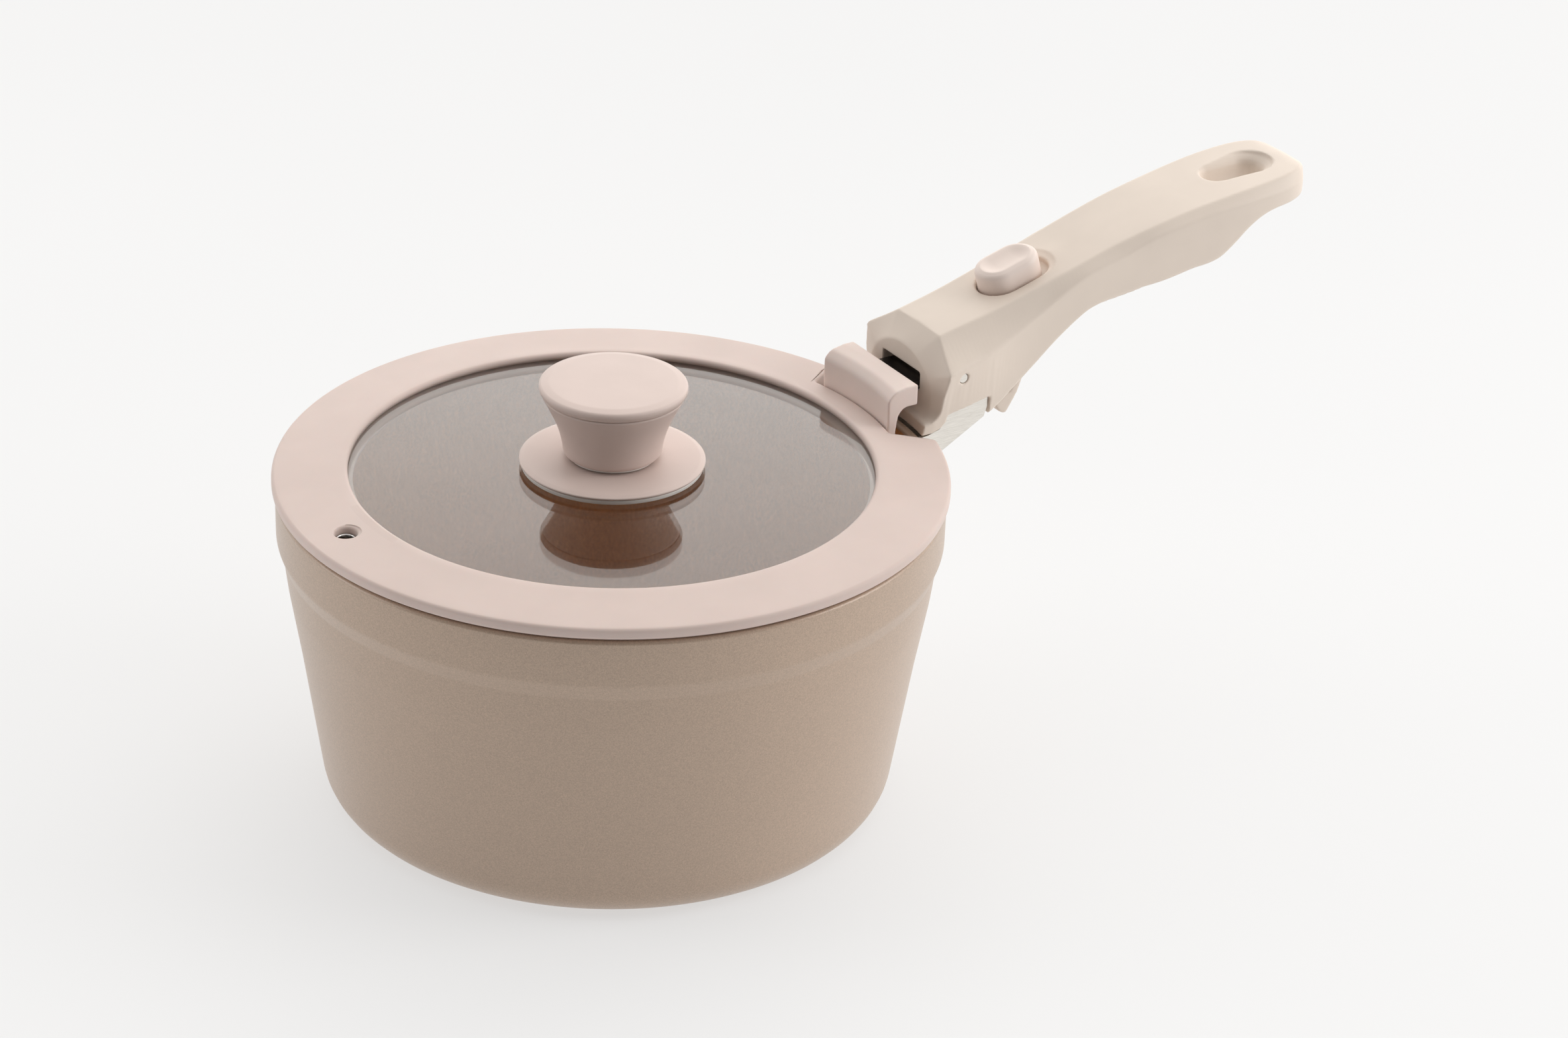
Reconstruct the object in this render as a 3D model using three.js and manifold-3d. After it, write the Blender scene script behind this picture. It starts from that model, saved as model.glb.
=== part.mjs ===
// A 20 cm saucepan with a silicone-rimmed glass lid and a clamp-on handle, in millimetres, +Z up.
// The origin is the centre of the pan's underside, and +X runs from the pan's axis out along the handle.
// The handle's clamp is open: the jaw stands forward and the squeeze lever hangs down.
import * as THREE from 'three';
import { ParametricGeometry } from 'three/addons/geometries/ParametricGeometry.js';
import { mergeVertices } from 'three/addons/utils/BufferGeometryUtils.js';
import Module from 'manifold-3d';

const wasm = await Module();
wasm.setup();

// ---- driving dimensions ----
const GAP = 0.3;                  // clearance between pieces that touch
const SEGMENTS = 60;              // facets round the pan and the lid
const KNOB_SEGMENTS = 36;

const PAN = {
  rimRadius: 102, rimTop: 102.5, wall: 3, bandBottom: 87.5, shoulderZ: 82.5, shoulderRadius: 99.9,
  cornerRadius: 22, baseRadius: 68.3, wallLean: 8.7 * Math.PI / 180, floor: 5,
};
const DISC = { radius: 65, thickness: 1.2 };
const LID = {
  radius: 103, edgeTop: 107.1, edgeBottom: 103.9, openingRadius: 80, lipTop: 108.9,
  glassRadius: 86.5, glassEdgeTop: 106.6, glassRise: 2.4, glassThickness: 4,
  skirtInner: 95.2, skirtOuter: 97.2, skirtBottom: 97.6, underside: 101,
};
const NOTCH = { radius: 89.6, halfWidth: 20.6, mouthHalfWidth: 30.5 };
const VENT = { radius: 90.9, hole: 3.5, tube: 3.2, bore: 2.3 };
const KNOB = { flangeRadius: 28.4, flangeZ: 110.2, neckZ: 113, seamZ: 132.6, topZ: 136.9, radius: 22.7 };
const SCREW = { hole: 4.5, shank: 2.4, headRadius: 5.6 };

const SLOPE = { x: 143.4, z: 139.8, angle: 16.3 * Math.PI / 180 };   // the top face under the button
const HANDLE = { wall: 2.4, clearRadius: 102.8, frontX: 105, cavityEnd: 211, openEnd: 199 };
const HOLE = { x: 231.3, length: 22, width: 10 };
const WELL = { start: -9.8, end: 16.8, width: 15.8, depth: 2.5 };
const BUTTON = { centre: 1.8, length: 22.2, width: 15, top: 6.3, travel: 2 };

const BAR = { halfWidth: 10, bottom: 114.3, top: 116.8, rear: 129.5 };
const JAW = { travel: 5.3, halfWidth: 18.7, front: 90, rear: 99.1 };
const CROSS_PIN = { x: 126, z: 118.6, radius: 1.5 };
const GUIDE_PIN = { x: 114.1, z: 120.5, radius: 1.5 };
const PIVOT = { x: 188.5, z: 139.5, radius: 2 };
const SWING = 5.5 * Math.PI / 180;                                    // the lever's squeeze
const PAWL = { x: 140.5, z: 127.5, radius: 1.5, finger: 5 };
const CHEEK = { inner: 10.3, outer: 12.3, nose: 13.5 };
const BRACKET = { halfWidth: 18.2, plate: 1.5, screwX: 118, screwY: 12.5 };
const SPRING_SEAT = { front: 110.7, rear: 121.4, z: 111 };

// ---- materials ----
const finish = (color, roughness, metalness = 0) =>
  new THREE.MeshStandardMaterial({ color, roughness, metalness });
const LOOK = {
  coating: finish(0xb3a292, 0.42, 0.15),
  silicone: finish(0xe0cdc5, 0.62),
  cream: finish(0xe6d9cc, 0.55),
  steel: finish(0xc9c7c2, 0.3, 1),
  black: finish(0x0c0b0b, 0.15, 0.2),
  clear: finish(0xe9e6e0, 0.35),
};
const glassLook = new THREE.MeshStandardMaterial({
  color: 0xb4aca4, roughness: 0.05, transparent: true, opacity: 0.4,
});

// ---- solids ----
function signedVolume(points, index) {
  const [a, b, c] = [new THREE.Vector3(), new THREE.Vector3(), new THREE.Vector3()];
  let sum = 0;
  for (let i = 0; i < index.length; i += 3) {
    a.fromArray(points, 3 * index[i]);
    b.fromArray(points, 3 * index[i + 1]);
    c.fromArray(points, 3 * index[i + 2]);
    sum += a.dot(b.cross(c)) / 6;
  }
  return sum;
}

// A closed geometry as a solid: shared corners merged, empty triangles dropped, faces pointing out.
function solid(geometry) {
  geometry.deleteAttribute('normal');
  geometry.deleteAttribute('uv');
  const merged = mergeVertices(geometry, 1e-3);
  const source = merged.index.array;
  const points = new Float32Array(merged.attributes.position.array);
  const kept = [];
  for (let i = 0; i < source.length; i += 3) {
    const [a, b, c] = source.slice(i, i + 3);
    if (a !== b && b !== c && c !== a) kept.push(a, b, c);
  }
  const index = signedVolume(points, kept) < 0 ? kept.reverse() : kept;
  return new wasm.Manifold(new wasm.Mesh({
    numProp: 3, vertProperties: points, triVerts: new Uint32Array(index),
  }));
}

const joined = (bodies) => bodies.reduce((all, body) => all.add(body));
const cutBy = (body, tools) => tools.reduce((left, tool) => left.subtract(tool), body);
const outline = (points) => new THREE.Shape(points.map(([a, b]) => new THREE.Vector2(a, b)));

// A closed profile of (radius, z) turned about the Z axis.
function turned(profile, segments = SEGMENTS) {
  const points = [...profile, profile[0]].map(([r, z]) => new THREE.Vector2(r, z));
  return solid(new THREE.LatheGeometry(points, segments).rotateX(Math.PI / 2));
}

// A side outline of (x, z) extruded across the handle from y0 to y1.
function across(shape, y0, y1) {
  const geometry = new THREE.ExtrudeGeometry(shape, { depth: y1 - y0, bevelEnabled: false, curveSegments: 6 });
  return solid(geometry.rotateX(Math.PI / 2).translate(0, y1, 0));
}

// A plan outline of (x, y) extruded upwards from z0 to z1.
function upright(shape, z0, z1) {
  const geometry = new THREE.ExtrudeGeometry(shape, { depth: z1 - z0, bevelEnabled: false, curveSegments: 6 });
  return solid(geometry.translate(0, 0, z0));
}

function block(x0, x1, y0, y1, z0, z1) {
  const box = new THREE.BoxGeometry(x1 - x0, y1 - y0, z1 - z0);
  return solid(box.translate((x0 + x1) / 2, (y0 + y1) / 2, (z0 + z1) / 2));
}

function crossRod(x, z, radius, y0, y1, sides = 20) {
  const rod = new THREE.CylinderGeometry(radius, radius, y1 - y0, sides);
  return solid(rod.translate(x, (y0 + y1) / 2, z));
}

function uprightRod(x, y, radius, z0, z1, sides = SEGMENTS) {
  const rod = new THREE.CylinderGeometry(radius, radius, z1 - z0, sides);
  return solid(rod.rotateX(Math.PI / 2).translate(x, y, (z0 + z1) / 2));
}

// A rectangle with round ends, centred on (x, 0).
function pill(x, length, width) {
  const radius = width / 2;
  const reach = length / 2 - radius;
  const shape = new THREE.Shape();
  shape.absarc(x + reach, 0, radius, -Math.PI / 2, Math.PI / 2, false);
  shape.absarc(x - reach, 0, radius, Math.PI / 2, Math.PI * 1.5, false);
  return shape;
}

// Geometry drawn on the sloping top face, where x runs up the slope and z stands off it.
const onSlope = (geometry) => geometry.rotateY(-SLOPE.angle).translate(SLOPE.x, 0, SLOPE.z);

function slopeBlock(s0, s1, y0, y1, n0, n1) {
  const box = new THREE.BoxGeometry(s1 - s0, y1 - y0, n1 - n0);
  return solid(onSlope(box.translate((s0 + s1) / 2, (y0 + y1) / 2, (n0 + n1) / 2)));
}

function slopePill(s0, s1, width, n0, n1) {
  const shape = pill((s0 + s1) / 2, s1 - s0, width);
  const geometry = new THREE.ExtrudeGeometry(shape, { depth: n1 - n0, bevelEnabled: false, curveSegments: 8 });
  return solid(onSlope(geometry.translate(0, 0, n0)));
}

// A point given on the slope, as [x, z].
function slopePoint(s, n) {
  const [cos, sin] = [Math.cos(SLOPE.angle), Math.sin(SLOPE.angle)];
  return [SLOPE.x + s * cos - n * sin, SLOPE.z + s * sin + n * cos];
}

// Straight-line interpolation in a list of [x, value] pairs.
function at(pairs, x) {
  const next = Math.max(1, pairs.findIndex(([px]) => px >= x));
  const [[x0, v0], [x1, v1]] = [pairs[next - 1], pairs[next]];
  return v0 + (v1 - v0) * (x - x0) / (x1 - x0);
}

// A skin through one section per station; sectionAt(x) gives the same number of (y, z) points each time.
function lofted(stations, sectionAt) {
  const rings = stations.map((x) => sectionAt(x).map(([y, z]) => new THREE.Vector3(x, y, z)));
  const count = rings[0].length;
  const middle = (ring) => ring.reduce((sum, p) => sum.add(p), new THREE.Vector3()).divideScalar(count);
  const last = stations.length + 1;
  const skin = (u, v, target) => {
    const row = Math.round(v * last);
    if (row === 0) return target.copy(middle(rings[0]));
    if (row === last) return target.copy(middle(rings[stations.length - 1]));
    return target.copy(rings[row - 1][Math.round(u * count) % count]);
  };
  return solid(new ParametricGeometry(skin, count, last));
}

// A wire wound along X from x0 to x1 about (y 0, z).
class Coil extends THREE.Curve {
  constructor(x0, x1, z, radius, turns) {
    super();
    Object.assign(this, { x0, x1, z, radius, turns });
  }

  getPoint(t, target = new THREE.Vector3()) {
    const angle = 2 * Math.PI * this.turns * t;
    const x = this.x0 + (this.x1 - this.x0) * t;
    return target.set(x, this.radius * Math.cos(angle), this.z + this.radius * Math.sin(angle));
  }
}

function wound(coil, wireRadius) {
  const wire = new THREE.Shape();
  wire.absarc(0, 0, wireRadius, 0, 2 * Math.PI, false);
  return new THREE.ExtrudeGeometry(wire, {
    extrudePath: coil, steps: Math.round(coil.turns * 12), bevelEnabled: false, curveSegments: 3,
  });
}

// ---- scene graph ----
const group = new THREE.Group();

function place(name, body, material) {
  const { vertProperties, triVerts } = body.getMesh();
  const geometry = new THREE.BufferGeometry();
  geometry.setAttribute('position', new THREE.BufferAttribute(vertProperties, 3));
  geometry.setIndex(new THREE.BufferAttribute(triVerts, 1));
  const mesh = new THREE.Mesh(geometry, material);
  mesh.name = name;
  group.add(mesh);
}

// ---- pan ----
function arc(centreR, centreZ, radius, from, to, steps) {
  return Array.from({ length: steps + 1 }, (_, i) => {
    const angle = from + (to - from) * i / steps;
    return [centreR + radius * Math.cos(angle), centreZ + radius * Math.sin(angle)];
  });
}

function makePan() {
  const lean = PAN.wallLean;
  const inside = PAN.cornerRadius - 3.4;
  const recess = DISC.radius + GAP;
  const inner = PAN.rimRadius - PAN.wall;
  const shell = turned([
    [0, DISC.thickness + GAP], [recess, DISC.thickness + GAP], [recess, 0],
    ...arc(PAN.baseRadius, PAN.cornerRadius, PAN.cornerRadius, -Math.PI / 2, -lean, 6),
    [95.2, 50], [98.3, 70], [PAN.shoulderRadius, PAN.shoulderZ], [PAN.rimRadius - 0.1, PAN.bandBottom],
    [PAN.rimRadius, PAN.rimTop - 0.8], [PAN.rimRadius - 0.8, PAN.rimTop],
    [inner + 0.8, PAN.rimTop], [inner, PAN.rimTop - 0.8], [PAN.shoulderRadius - 3.1, 78],
    ...arc(PAN.baseRadius, PAN.cornerRadius + 1.6, inside, -lean, -Math.PI / 2, 5),
    [0, PAN.floor],
  ]);
  place('pan_shell', shell, LOOK.coating);
  place('base_disc', turned([[0, 0], [DISC.radius, 0], [DISC.radius, DISC.thickness], [0, DISC.thickness]]),
    LOOK.steel);
}

// ---- lid ----
const glassTop = (r) => LID.glassEdgeTop + LID.glassRise * (1 - (r / LID.glassRadius) ** 2);

// The handle's notch in the rim: a round inner edge, and flanks that flare to the outside.
function notchPlan() {
  const { radius, halfWidth, mouthHalfWidth } = NOTCH;
  const half = Math.asin(halfWidth / radius);
  const shape = new THREE.Shape();
  shape.absarc(0, 0, radius, -half, half, false);
  const x = radius * Math.cos(half);
  shape.quadraticCurveTo(x + 2.5, halfWidth + 2.5, 98, mouthHalfWidth - 0.6);
  shape.lineTo(110, mouthHalfWidth + 2);
  shape.lineTo(110, -mouthHalfWidth - 2);
  shape.lineTo(98, -mouthHalfWidth + 0.6);
  shape.quadraticCurveTo(x + 2.5, -halfWidth - 2.5, x, -halfWidth);
  return shape;
}

function makeLid() {
  const radii = [SCREW.hole, 30, 60, LID.openingRadius, LID.glassRadius];
  const top = radii.map((r) => [r, glassTop(r)]);
  const under = radii.map((r) => [r, glassTop(r) - LID.glassThickness]);
  place('lid_glass', turned([...under, ...top.reverse()]), glassLook);

  const groove = LID.glassRadius + GAP;
  const glassUnder = LID.glassEdgeTop - LID.glassThickness - GAP;
  const rim = turned([
    [82, LID.underside], [LID.skirtInner, LID.underside], [LID.skirtInner, LID.skirtBottom],
    [LID.skirtOuter, LID.skirtBottom], [LID.skirtOuter, PAN.rimTop + GAP], [100.8, PAN.rimTop + GAP],
    [101.4, LID.edgeBottom], [LID.radius - 0.6, LID.edgeBottom], [LID.radius, LID.edgeBottom + 0.7],
    [LID.radius, LID.edgeTop - 0.6], [LID.radius - 0.7, LID.edgeTop], [LID.openingRadius + 1, LID.lipTop],
    [LID.openingRadius + 0.2, LID.lipTop - 0.4], [LID.openingRadius, LID.lipTop - 1],
    [LID.openingRadius, glassTop(LID.openingRadius) + GAP], [groove, LID.glassEdgeTop + GAP],
    [groove, glassUnder], [82, glassUnder + 0.2],
  ]);
  const mouth = turned([
    [0, 100], [VENT.hole, 100], [VENT.hole, 107.2], [4.3, 108.2], [4.8, 110], [0, 110],
  ], 24).translate([-VENT.radius, 0, 0]);
  place('lid_rim', cutBy(rim, [upright(notchPlan(), 90, 115), mouth]), LOOK.silicone);
  place('vent_eyelet', turned([
    [VENT.bore, 100.4], [3.9, 100.4], [3.9, 100.8], [VENT.tube, 100.8], [VENT.tube, 107.2],
    [VENT.bore, 107.2],
  ], 24).translate([-VENT.radius, 0, 0]), LOOK.steel);
}

// ---- knob, clamped through the glass ----
function makeKnob() {
  const knobTurned = (profile) => turned(profile, KNOB_SEGMENTS);
  const glass = glassTop(0);
  place('knob_gasket', knobTurned([[SCREW.hole, glass + GAP], [27.4, glass + GAP], [27.6, glass + 0.9],
    [SCREW.hole, glass + 0.9]]), LOOK.clear);
  place('knob_flange', knobTurned([
    [SCREW.hole, KNOB.flangeZ], [27.7, KNOB.flangeZ], [KNOB.flangeRadius, 110.8], [27.9, 111.3],
    [16, 111.8], [SCREW.hole, 111.8],
  ]), LOOK.silicone);
  place('knob_spacer', knobTurned([[SCREW.hole, 112.1], [13.2, 112.1], [13.2, 112.7], [SCREW.hole, 112.7]]),
    LOOK.clear);
  place('knob_body', knobTurned([
    [5.3, KNOB.neckZ], [14.2, KNOB.neckZ], [14.9, 113.6], [15.4, 117], [16.4, 121], [18, 125], [19.8, 128.7],
    [21.3, 131.5], [21.8, KNOB.seamZ], [8, KNOB.seamZ], [8, 127.5], [5.3, 127.5],
  ]), LOOK.silicone);
  place('knob_cap', knobTurned([
    [0, KNOB.seamZ + GAP], [22, KNOB.seamZ + GAP], [KNOB.radius, 134.4], [22.2, 135.8], [20.6, 136.5],
    [10, 136.8], [0, KNOB.topZ],
  ]), LOOK.silicone);
  place('knob_insert', turned([
    [SCREW.shank + GAP, 113.2], [5, 113.2], [5, 127.8], [6.6, 127.8], [6.6, 130.5],
    [SCREW.shank + GAP, 130.5],
  ], 24), LOOK.steel);
  const under = glass - LID.glassThickness;
  place('seal_washer', turned([[SCREW.shank + GAP, under - 1.3], [8, under - 1.3], [8, under - GAP],
    [SCREW.shank + GAP, under - GAP]], 24), LOOK.clear);
  place('screw_washer', turned([[SCREW.shank + GAP, under - 2.4], [7.2, under - 2.4], [7.2, under - 1.6],
    [SCREW.shank + GAP, under - 1.6]], 24), LOOK.steel);
  const head = under - 2.7;
  const screw = turned([[0, head - 2.4], [4.6, head - 2.4], [SCREW.headRadius, head - 1.2],
    [SCREW.headRadius, head], [SCREW.shank, head], [SCREW.shank, 127], [0, 127.6]], 24);
  const drive = joined([block(-3, 3, -0.6, 0.6, head - 4, head - 1.2), block(-0.6, 0.6, -3, 3, head - 4, head - 1.2)]);
  place('knob_screw', screw.subtract(drive), LOOK.steel);
}

// ---- handle housing: how its section changes along X ----
const TOP = [[105, 130.3], [113, 132.2], [128, 135.7], [143.4, 140.1], [163.6, 146.1], [184, 152.1],
  [204.7, 156.7], [215.2, 158.3], [225.7, 159.9], [236.4, 161], [245, 161.8], [250, 162], [252.8, 161.2],
  [254.5, 159.2]];
const TOP_HALF = [[105, 11.5], [128, 12.2], [140, 12.7], [155, 13.1], [168, 13.3], [180, 13.8], [193, 14.4],
  [205, 14.9], [217.5, 15.7], [231, 16.2], [239, 15.8], [245, 14.9], [250, 12.7], [252.8, 9.2], [254.5, 3.5]];
const CREASE = [[105, 122.3], [108.6, 123.6], [123.5, 126.1], [134.5, 129.7], [146, 134.6], [156.5, 140.4], [177.3, 147],
  [190, 150.9], [203, 153.6], [213.6, 155.4], [229, 156.8], [246, 157.8], [254.5, 157]];
const CREASE_HALF = [[105, 24.3], [108.6, 23.6], [123.5, 21], [134.5, 19], [146, 17.5], [165, 17], [185, 17.4],
  [205, 18.4], [220, 19], [233, 19], [240, 18.3], [246, 16.4], [250, 13.9], [252.8, 10.3], [254.5, 5]];
const SIDE_HALF = [[105, 18.9], [126, 18.8], [145, 17.4], [165, 17], [185, 17.4], [205, 18.4], [220, 19],
  [233, 19], [240, 18.3], [246, 16.4], [250, 13.9], [252.8, 10.3], [254.5, 5]];
const BOTTOM = [[105, 104], [126, 104.6], [128.5, 105.4], [143.8, 116.3], [153.5, 123.8], [163.3, 130.1],
  [173.4, 132.8], [194.1, 135.2], [204.5, 137.4], [211, 138], [215, 139.1], [220, 142.8], [225, 147],
  [230, 150.1], [235.1, 151.6], [243, 152.2], [254.5, 152.6]];
const STATIONS = [105, 113, 120, 126, 128.5, 136, 143.8, 153.5, 163.3, 173.4, 184, 194.1, 204.5, 211, 215,
  220, 225, 230, 235.1, 240, 245, 250, 252.8, 254.5];

function housingSection(x) {
  const [top, topHalf, crease] = [at(TOP, x), at(TOP_HALF, x), at(CREASE, x)];
  const [wide, half, bottom] = [at(CREASE_HALF, x), at(SIDE_HALF, x), at(BOTTOM, x)];
  return [[-topHalf, top], [0, top + 0.2], [topHalf, top], [wide, crease], [half, bottom + 1],
    [half - 1, bottom], [1 - half, bottom], [-half, bottom + 1], [-wide, crease]];
}

// The hollow, one wall inside the outer skin and open below as far as the lever reaches.
function cavitySection(x) {
  const [top, topHalf, crease] = [at(TOP, x) - 2.6, at(TOP_HALF, x) - 1.4, at(CREASE, x) - 1.8];
  const half = at(SIDE_HALF, x) - HANDLE.wall;
  const bottom = x <= HANDLE.openEnd ? at(BOTTOM, x) - 6 : at(BOTTOM, x) + HANDLE.wall;
  return [[-topHalf, top], [topHalf, top], [half, crease], [half, bottom], [-half, bottom], [-half, crease]];
}

const BRACKET_LINE = [[102.9, 91.6], [109.7, 95.4], [117, 99.4], [124.8, 103.7]];
const bracketFloor = (x) => at([[95, 87.2], ...BRACKET_LINE, [132, 107.7]], x);

// Two bosses that the bracket's screws bite into, and the bored ribs and bosses that carry the pivot pins.
function innerBosses() {
  const bosses = [];
  for (const side of [-1, 1]) {
    const span = (near, far) => (side > 0 ? [near, far] : [-far, -near]);
    const feet = outline([[110.5, bracketFloor(110.5) + 2.4], [119.5, bracketFloor(119.5) + 2.4],
      [119.5, 114], [110.5, 114]]);
    bosses.push(across(feet, ...span(8.6, 16.3)));
    bosses.push(block(110.5, 119.5, ...span(16, 17.5), 111.2, 114));
    bosses.push(crossRod(PIVOT.x, PIVOT.z, 4.2, ...span(13.9, 16)));
    bosses.push(block(PAWL.x - 3.2, PAWL.x + 3.2, ...span(4, 6.5), PAWL.z - 3.2, PAWL.z + 8.6));
  }
  bosses.push(slopeBlock(4.5, 6, -4, 4, -9.2, -3.5));
  bosses.push(slopeBlock(WELL.start - 1.5, WELL.end + 1.5, -9.5, 9.5, -WELL.depth - 1.5, -1));
  return bosses;
}

// A screw driven square to the bracket's sloping floor.
const FLOOR_ANGLE = Math.atan2(103.7 - 95.4, 124.8 - 109.7);

function bracketRod(side, radius, from, to, sides = 16) {
  const rod = new THREE.CylinderGeometry(radius, radius, to - from, sides);
  rod.rotateX(Math.PI / 2).translate(0, 0, (from + to) / 2);
  rod.rotateY(-FLOOR_ANGLE);
  return solid(rod.translate(BRACKET.screwX, side * BRACKET.screwY, bracketFloor(BRACKET.screwX)));
}

function makeHousing() {
  const outer = lofted(STATIONS, housingSection);
  const inner = lofted([HANDLE.frontX + 2.6, ...STATIONS.slice(1, 12), HANDLE.openEnd], cavitySection);
  const innerRear = lofted([HANDLE.openEnd, HANDLE.openEnd + 0.01, 204.5, HANDLE.cavityEnd],
    (x) => cavitySection(Math.max(x, HANDLE.openEnd + 0.01)));
  const foot = across(outline([[98, 102.2], [98, 106], [99.6, 107.1], [103.6, 107.5], [105.2, 108.6],
    [107.6, 112], [107.6, 102.2]]), -18.9, 18.9);
  const topChamfer = across(outline([[104, 125.2], [112.5, 133.6], [112.5, 140], [104, 140]]), -25, 25);
  const cheekPlan = (side) => outline([[104, 14.4 * side], [107.9, 24.6 * side], [107.9, 27 * side],
    [104, 27 * side]]);
  const bracketRoom = across(outline([[96, 80], [96, 101.7], [104, 102.1], [107.9, 103.3], [109.9, 106],
    [109.9, 108.1], [126.3, 110.8], [126.3, 80]]), -25, 25);
  const shell = cutBy(outer.add(foot), [
    inner, innerRear, topChamfer, upright(cheekPlan(1), 107.6, 140), upright(cheekPlan(-1), 107.6, 140),
    bracketRoom, uprightRod(0, 0, HANDLE.clearRadius, 80, 170),
    block(100, 112, -BAR.halfWidth - GAP, BAR.halfWidth + GAP, BAR.bottom - GAP, 120),
    upright(pill(HOLE.x, HOLE.length, HOLE.width), 130, 170),
  ]);
  const housing = cutBy(joined([shell, ...innerBosses()]), [
    slopePill(WELL.start, WELL.end, WELL.width, -WELL.depth, 8),
    slopeBlock(PAWL_S - 3.5, PAWL_S + 3.5 + BUTTON.travel, -3.9, 3.9, -5.5, -1),
    crossRod(GUIDE_PIN.x, GUIDE_PIN.z, GUIDE_PIN.radius + GAP, -26, 26),
    crossRod(PIVOT.x, PIVOT.z, PIVOT.radius + GAP, -16.6, 16.6),
    crossRod(PAWL.x, PAWL.z, PAWL.radius + GAP, -8, 8),
    bracketRod(1, 1.5 + GAP, -3, 14), bracketRod(-1, 1.5 + GAP, -3, 14),
  ]);
  place('handle_housing', housing, LOOK.cream);
}

// Where the pawl's finger meets the button's fork, along the slope and off it.
const PAWL_S = (PAWL.x - SLOPE.x) * Math.cos(SLOPE.angle) + (PAWL.z - SLOPE.z) * Math.sin(SLOPE.angle);
const PAWL_N = (PAWL.z - SLOPE.z) * Math.cos(SLOPE.angle) - (PAWL.x - SLOPE.x) * Math.sin(SLOPE.angle);

function makeFixedSteel() {
  const front = 99;
  const body = outline([[front, bracketFloor(front)], ...BRACKET_LINE, [125.9, 107.1], [125.9, 110.4],
    [110.2, 107.8], [110.2, 106], [108.1, 103], [104, 101.8], [front, 101.4]]);
  const rise = BRACKET.plate / Math.cos(FLOOR_ANGLE);
  const hollow = outline([...[95, 102.9, 109.7, 117, 124.8, 131].map((x) => [x, bracketFloor(x) + rise]),
    [131, 125], [95, 125]]);
  const channel = across(body, -BRACKET.halfWidth, BRACKET.halfWidth)
    .subtract(across(hollow, BRACKET.plate - BRACKET.halfWidth, BRACKET.halfWidth - BRACKET.plate));
  const seat = block(SPRING_SEAT.rear, SPRING_SEAT.rear + 1.5, -5, 5, 102.6, 113.6);
  place('steel_bracket', cutBy(channel.add(seat), [
    uprightRod(0, 0, HANDLE.clearRadius - 0.2, 80, 120),
    bracketRod(1, 1.5 + GAP, -3, 14), bracketRod(-1, 1.5 + GAP, -3, 14),
  ]), LOOK.steel);
  for (const [side, label] of [[-1, 'near'], [1, 'far']]) {
    const head = bracketRod(side, 2.8, -1.9, -GAP);
    place(`bracket_screw_${label}`, head.add(bracketRod(side, 1.5, -1, 10.5)), LOOK.steel);
  }
  place('guide_pin', crossRod(GUIDE_PIN.x, GUIDE_PIN.z, GUIDE_PIN.radius, -21.2, 21.2), LOOK.steel);
  place('lever_pivot_pin', crossRod(PIVOT.x, PIVOT.z, PIVOT.radius, -16.2, 16.2), LOOK.steel);
  place('pawl_pivot_pin', crossRod(PAWL.x, PAWL.z, PAWL.radius, -6.5, 6.5), LOOK.steel);
}

// ---- jaw: the black slider with its hook, and the silicone pad over it ----
function makeJaw() {
  const hookWide = 15.5;
  const leg = turned([[91, 99.5], [92.1, 99.5], [92.5, BAR.bottom + 1], [92.5, BAR.top], [91, BAR.top]])
    .intersect(block(80, 100, -hookWide, hookWide, 90, 125));
  const arm = turned([[91, BAR.bottom], [104, BAR.bottom], [104, BAR.top], [91, BAR.top]])
    .intersect(block(80, JAW.rear - 0.4, -hookWide, hookWide, 90, 125));
  const bar = block(95, BAR.rear, -BAR.halfWidth, BAR.halfWidth, BAR.bottom, BAR.top);
  const ears = [-1, 1].map((side) => {
    const [y0, y1] = side > 0 ? [7.6, 9.4] : [-9.4, -7.6];
    return block(122.5, BAR.rear, y0, y1, BAR.bottom, CROSS_PIN.z + 3.4);
  });
  const springTab = block(109.2, SPRING_SEAT.front, -5, 5, 108.4, BAR.bottom + 1);
  place('slider_hook', joined([leg, arm, bar, ...ears, springTab])
    .subtract(crossRod(CROSS_PIN.x, CROSS_PIN.z, CROSS_PIN.radius + GAP, -15, 15)), LOOK.black);
  place('cross_pin', crossRod(CROSS_PIN.x, CROSS_PIN.z, CROSS_PIN.radius, -12.6, 12.6), LOOK.steel);

  const pad = turned([
    [JAW.front, 98], [91.2, 97.2], [92.4, 98], [93.4, 108], [93.9, 111.3], [95.6, 113.4], [97.6, 113.7],
    [104, 113.7], [104, 120.5], [98.5, 120.5], [93.3, 119.9], [91.2, 118.7], [JAW.front, 116.3],
  ]).intersect(block(80, JAW.rear, -JAW.halfWidth, JAW.halfWidth, 90, 125));
  const pocketWide = hookWide + GAP;
  const armPocket = turned([[91 - GAP, BAR.bottom - GAP], [106, BAR.bottom - GAP], [106, BAR.top + GAP],
    [91 - GAP, BAR.top + GAP]]).intersect(block(80, 104, -pocketWide, pocketWide, 90, 125));
  const legPocket = turned([[91 - GAP, 99.2], [92.1 + GAP, 99.2], [92.5 + GAP, BAR.bottom + 1],
    [92.5 + GAP, BAR.top], [91 - GAP, BAR.top]]).intersect(block(80, 100, -pocketWide, pocketWide, 90, 125));
  place('jaw_pad', cutBy(pad, [armPocket, legPocket]), LOOK.silicone);
}

// ---- squeeze lever ----
// Where the cross pin, moved back by the jaw's travel, sits in the lever's own slot.
function slotEnd() {
  const [dx, dz] = [CROSS_PIN.x + JAW.travel - PIVOT.x, CROSS_PIN.z - PIVOT.z];
  return [PIVOT.x + dx * Math.cos(SWING) - dz * Math.sin(SWING),
    PIVOT.z + dx * Math.sin(SWING) + dz * Math.cos(SWING)];
}

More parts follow.
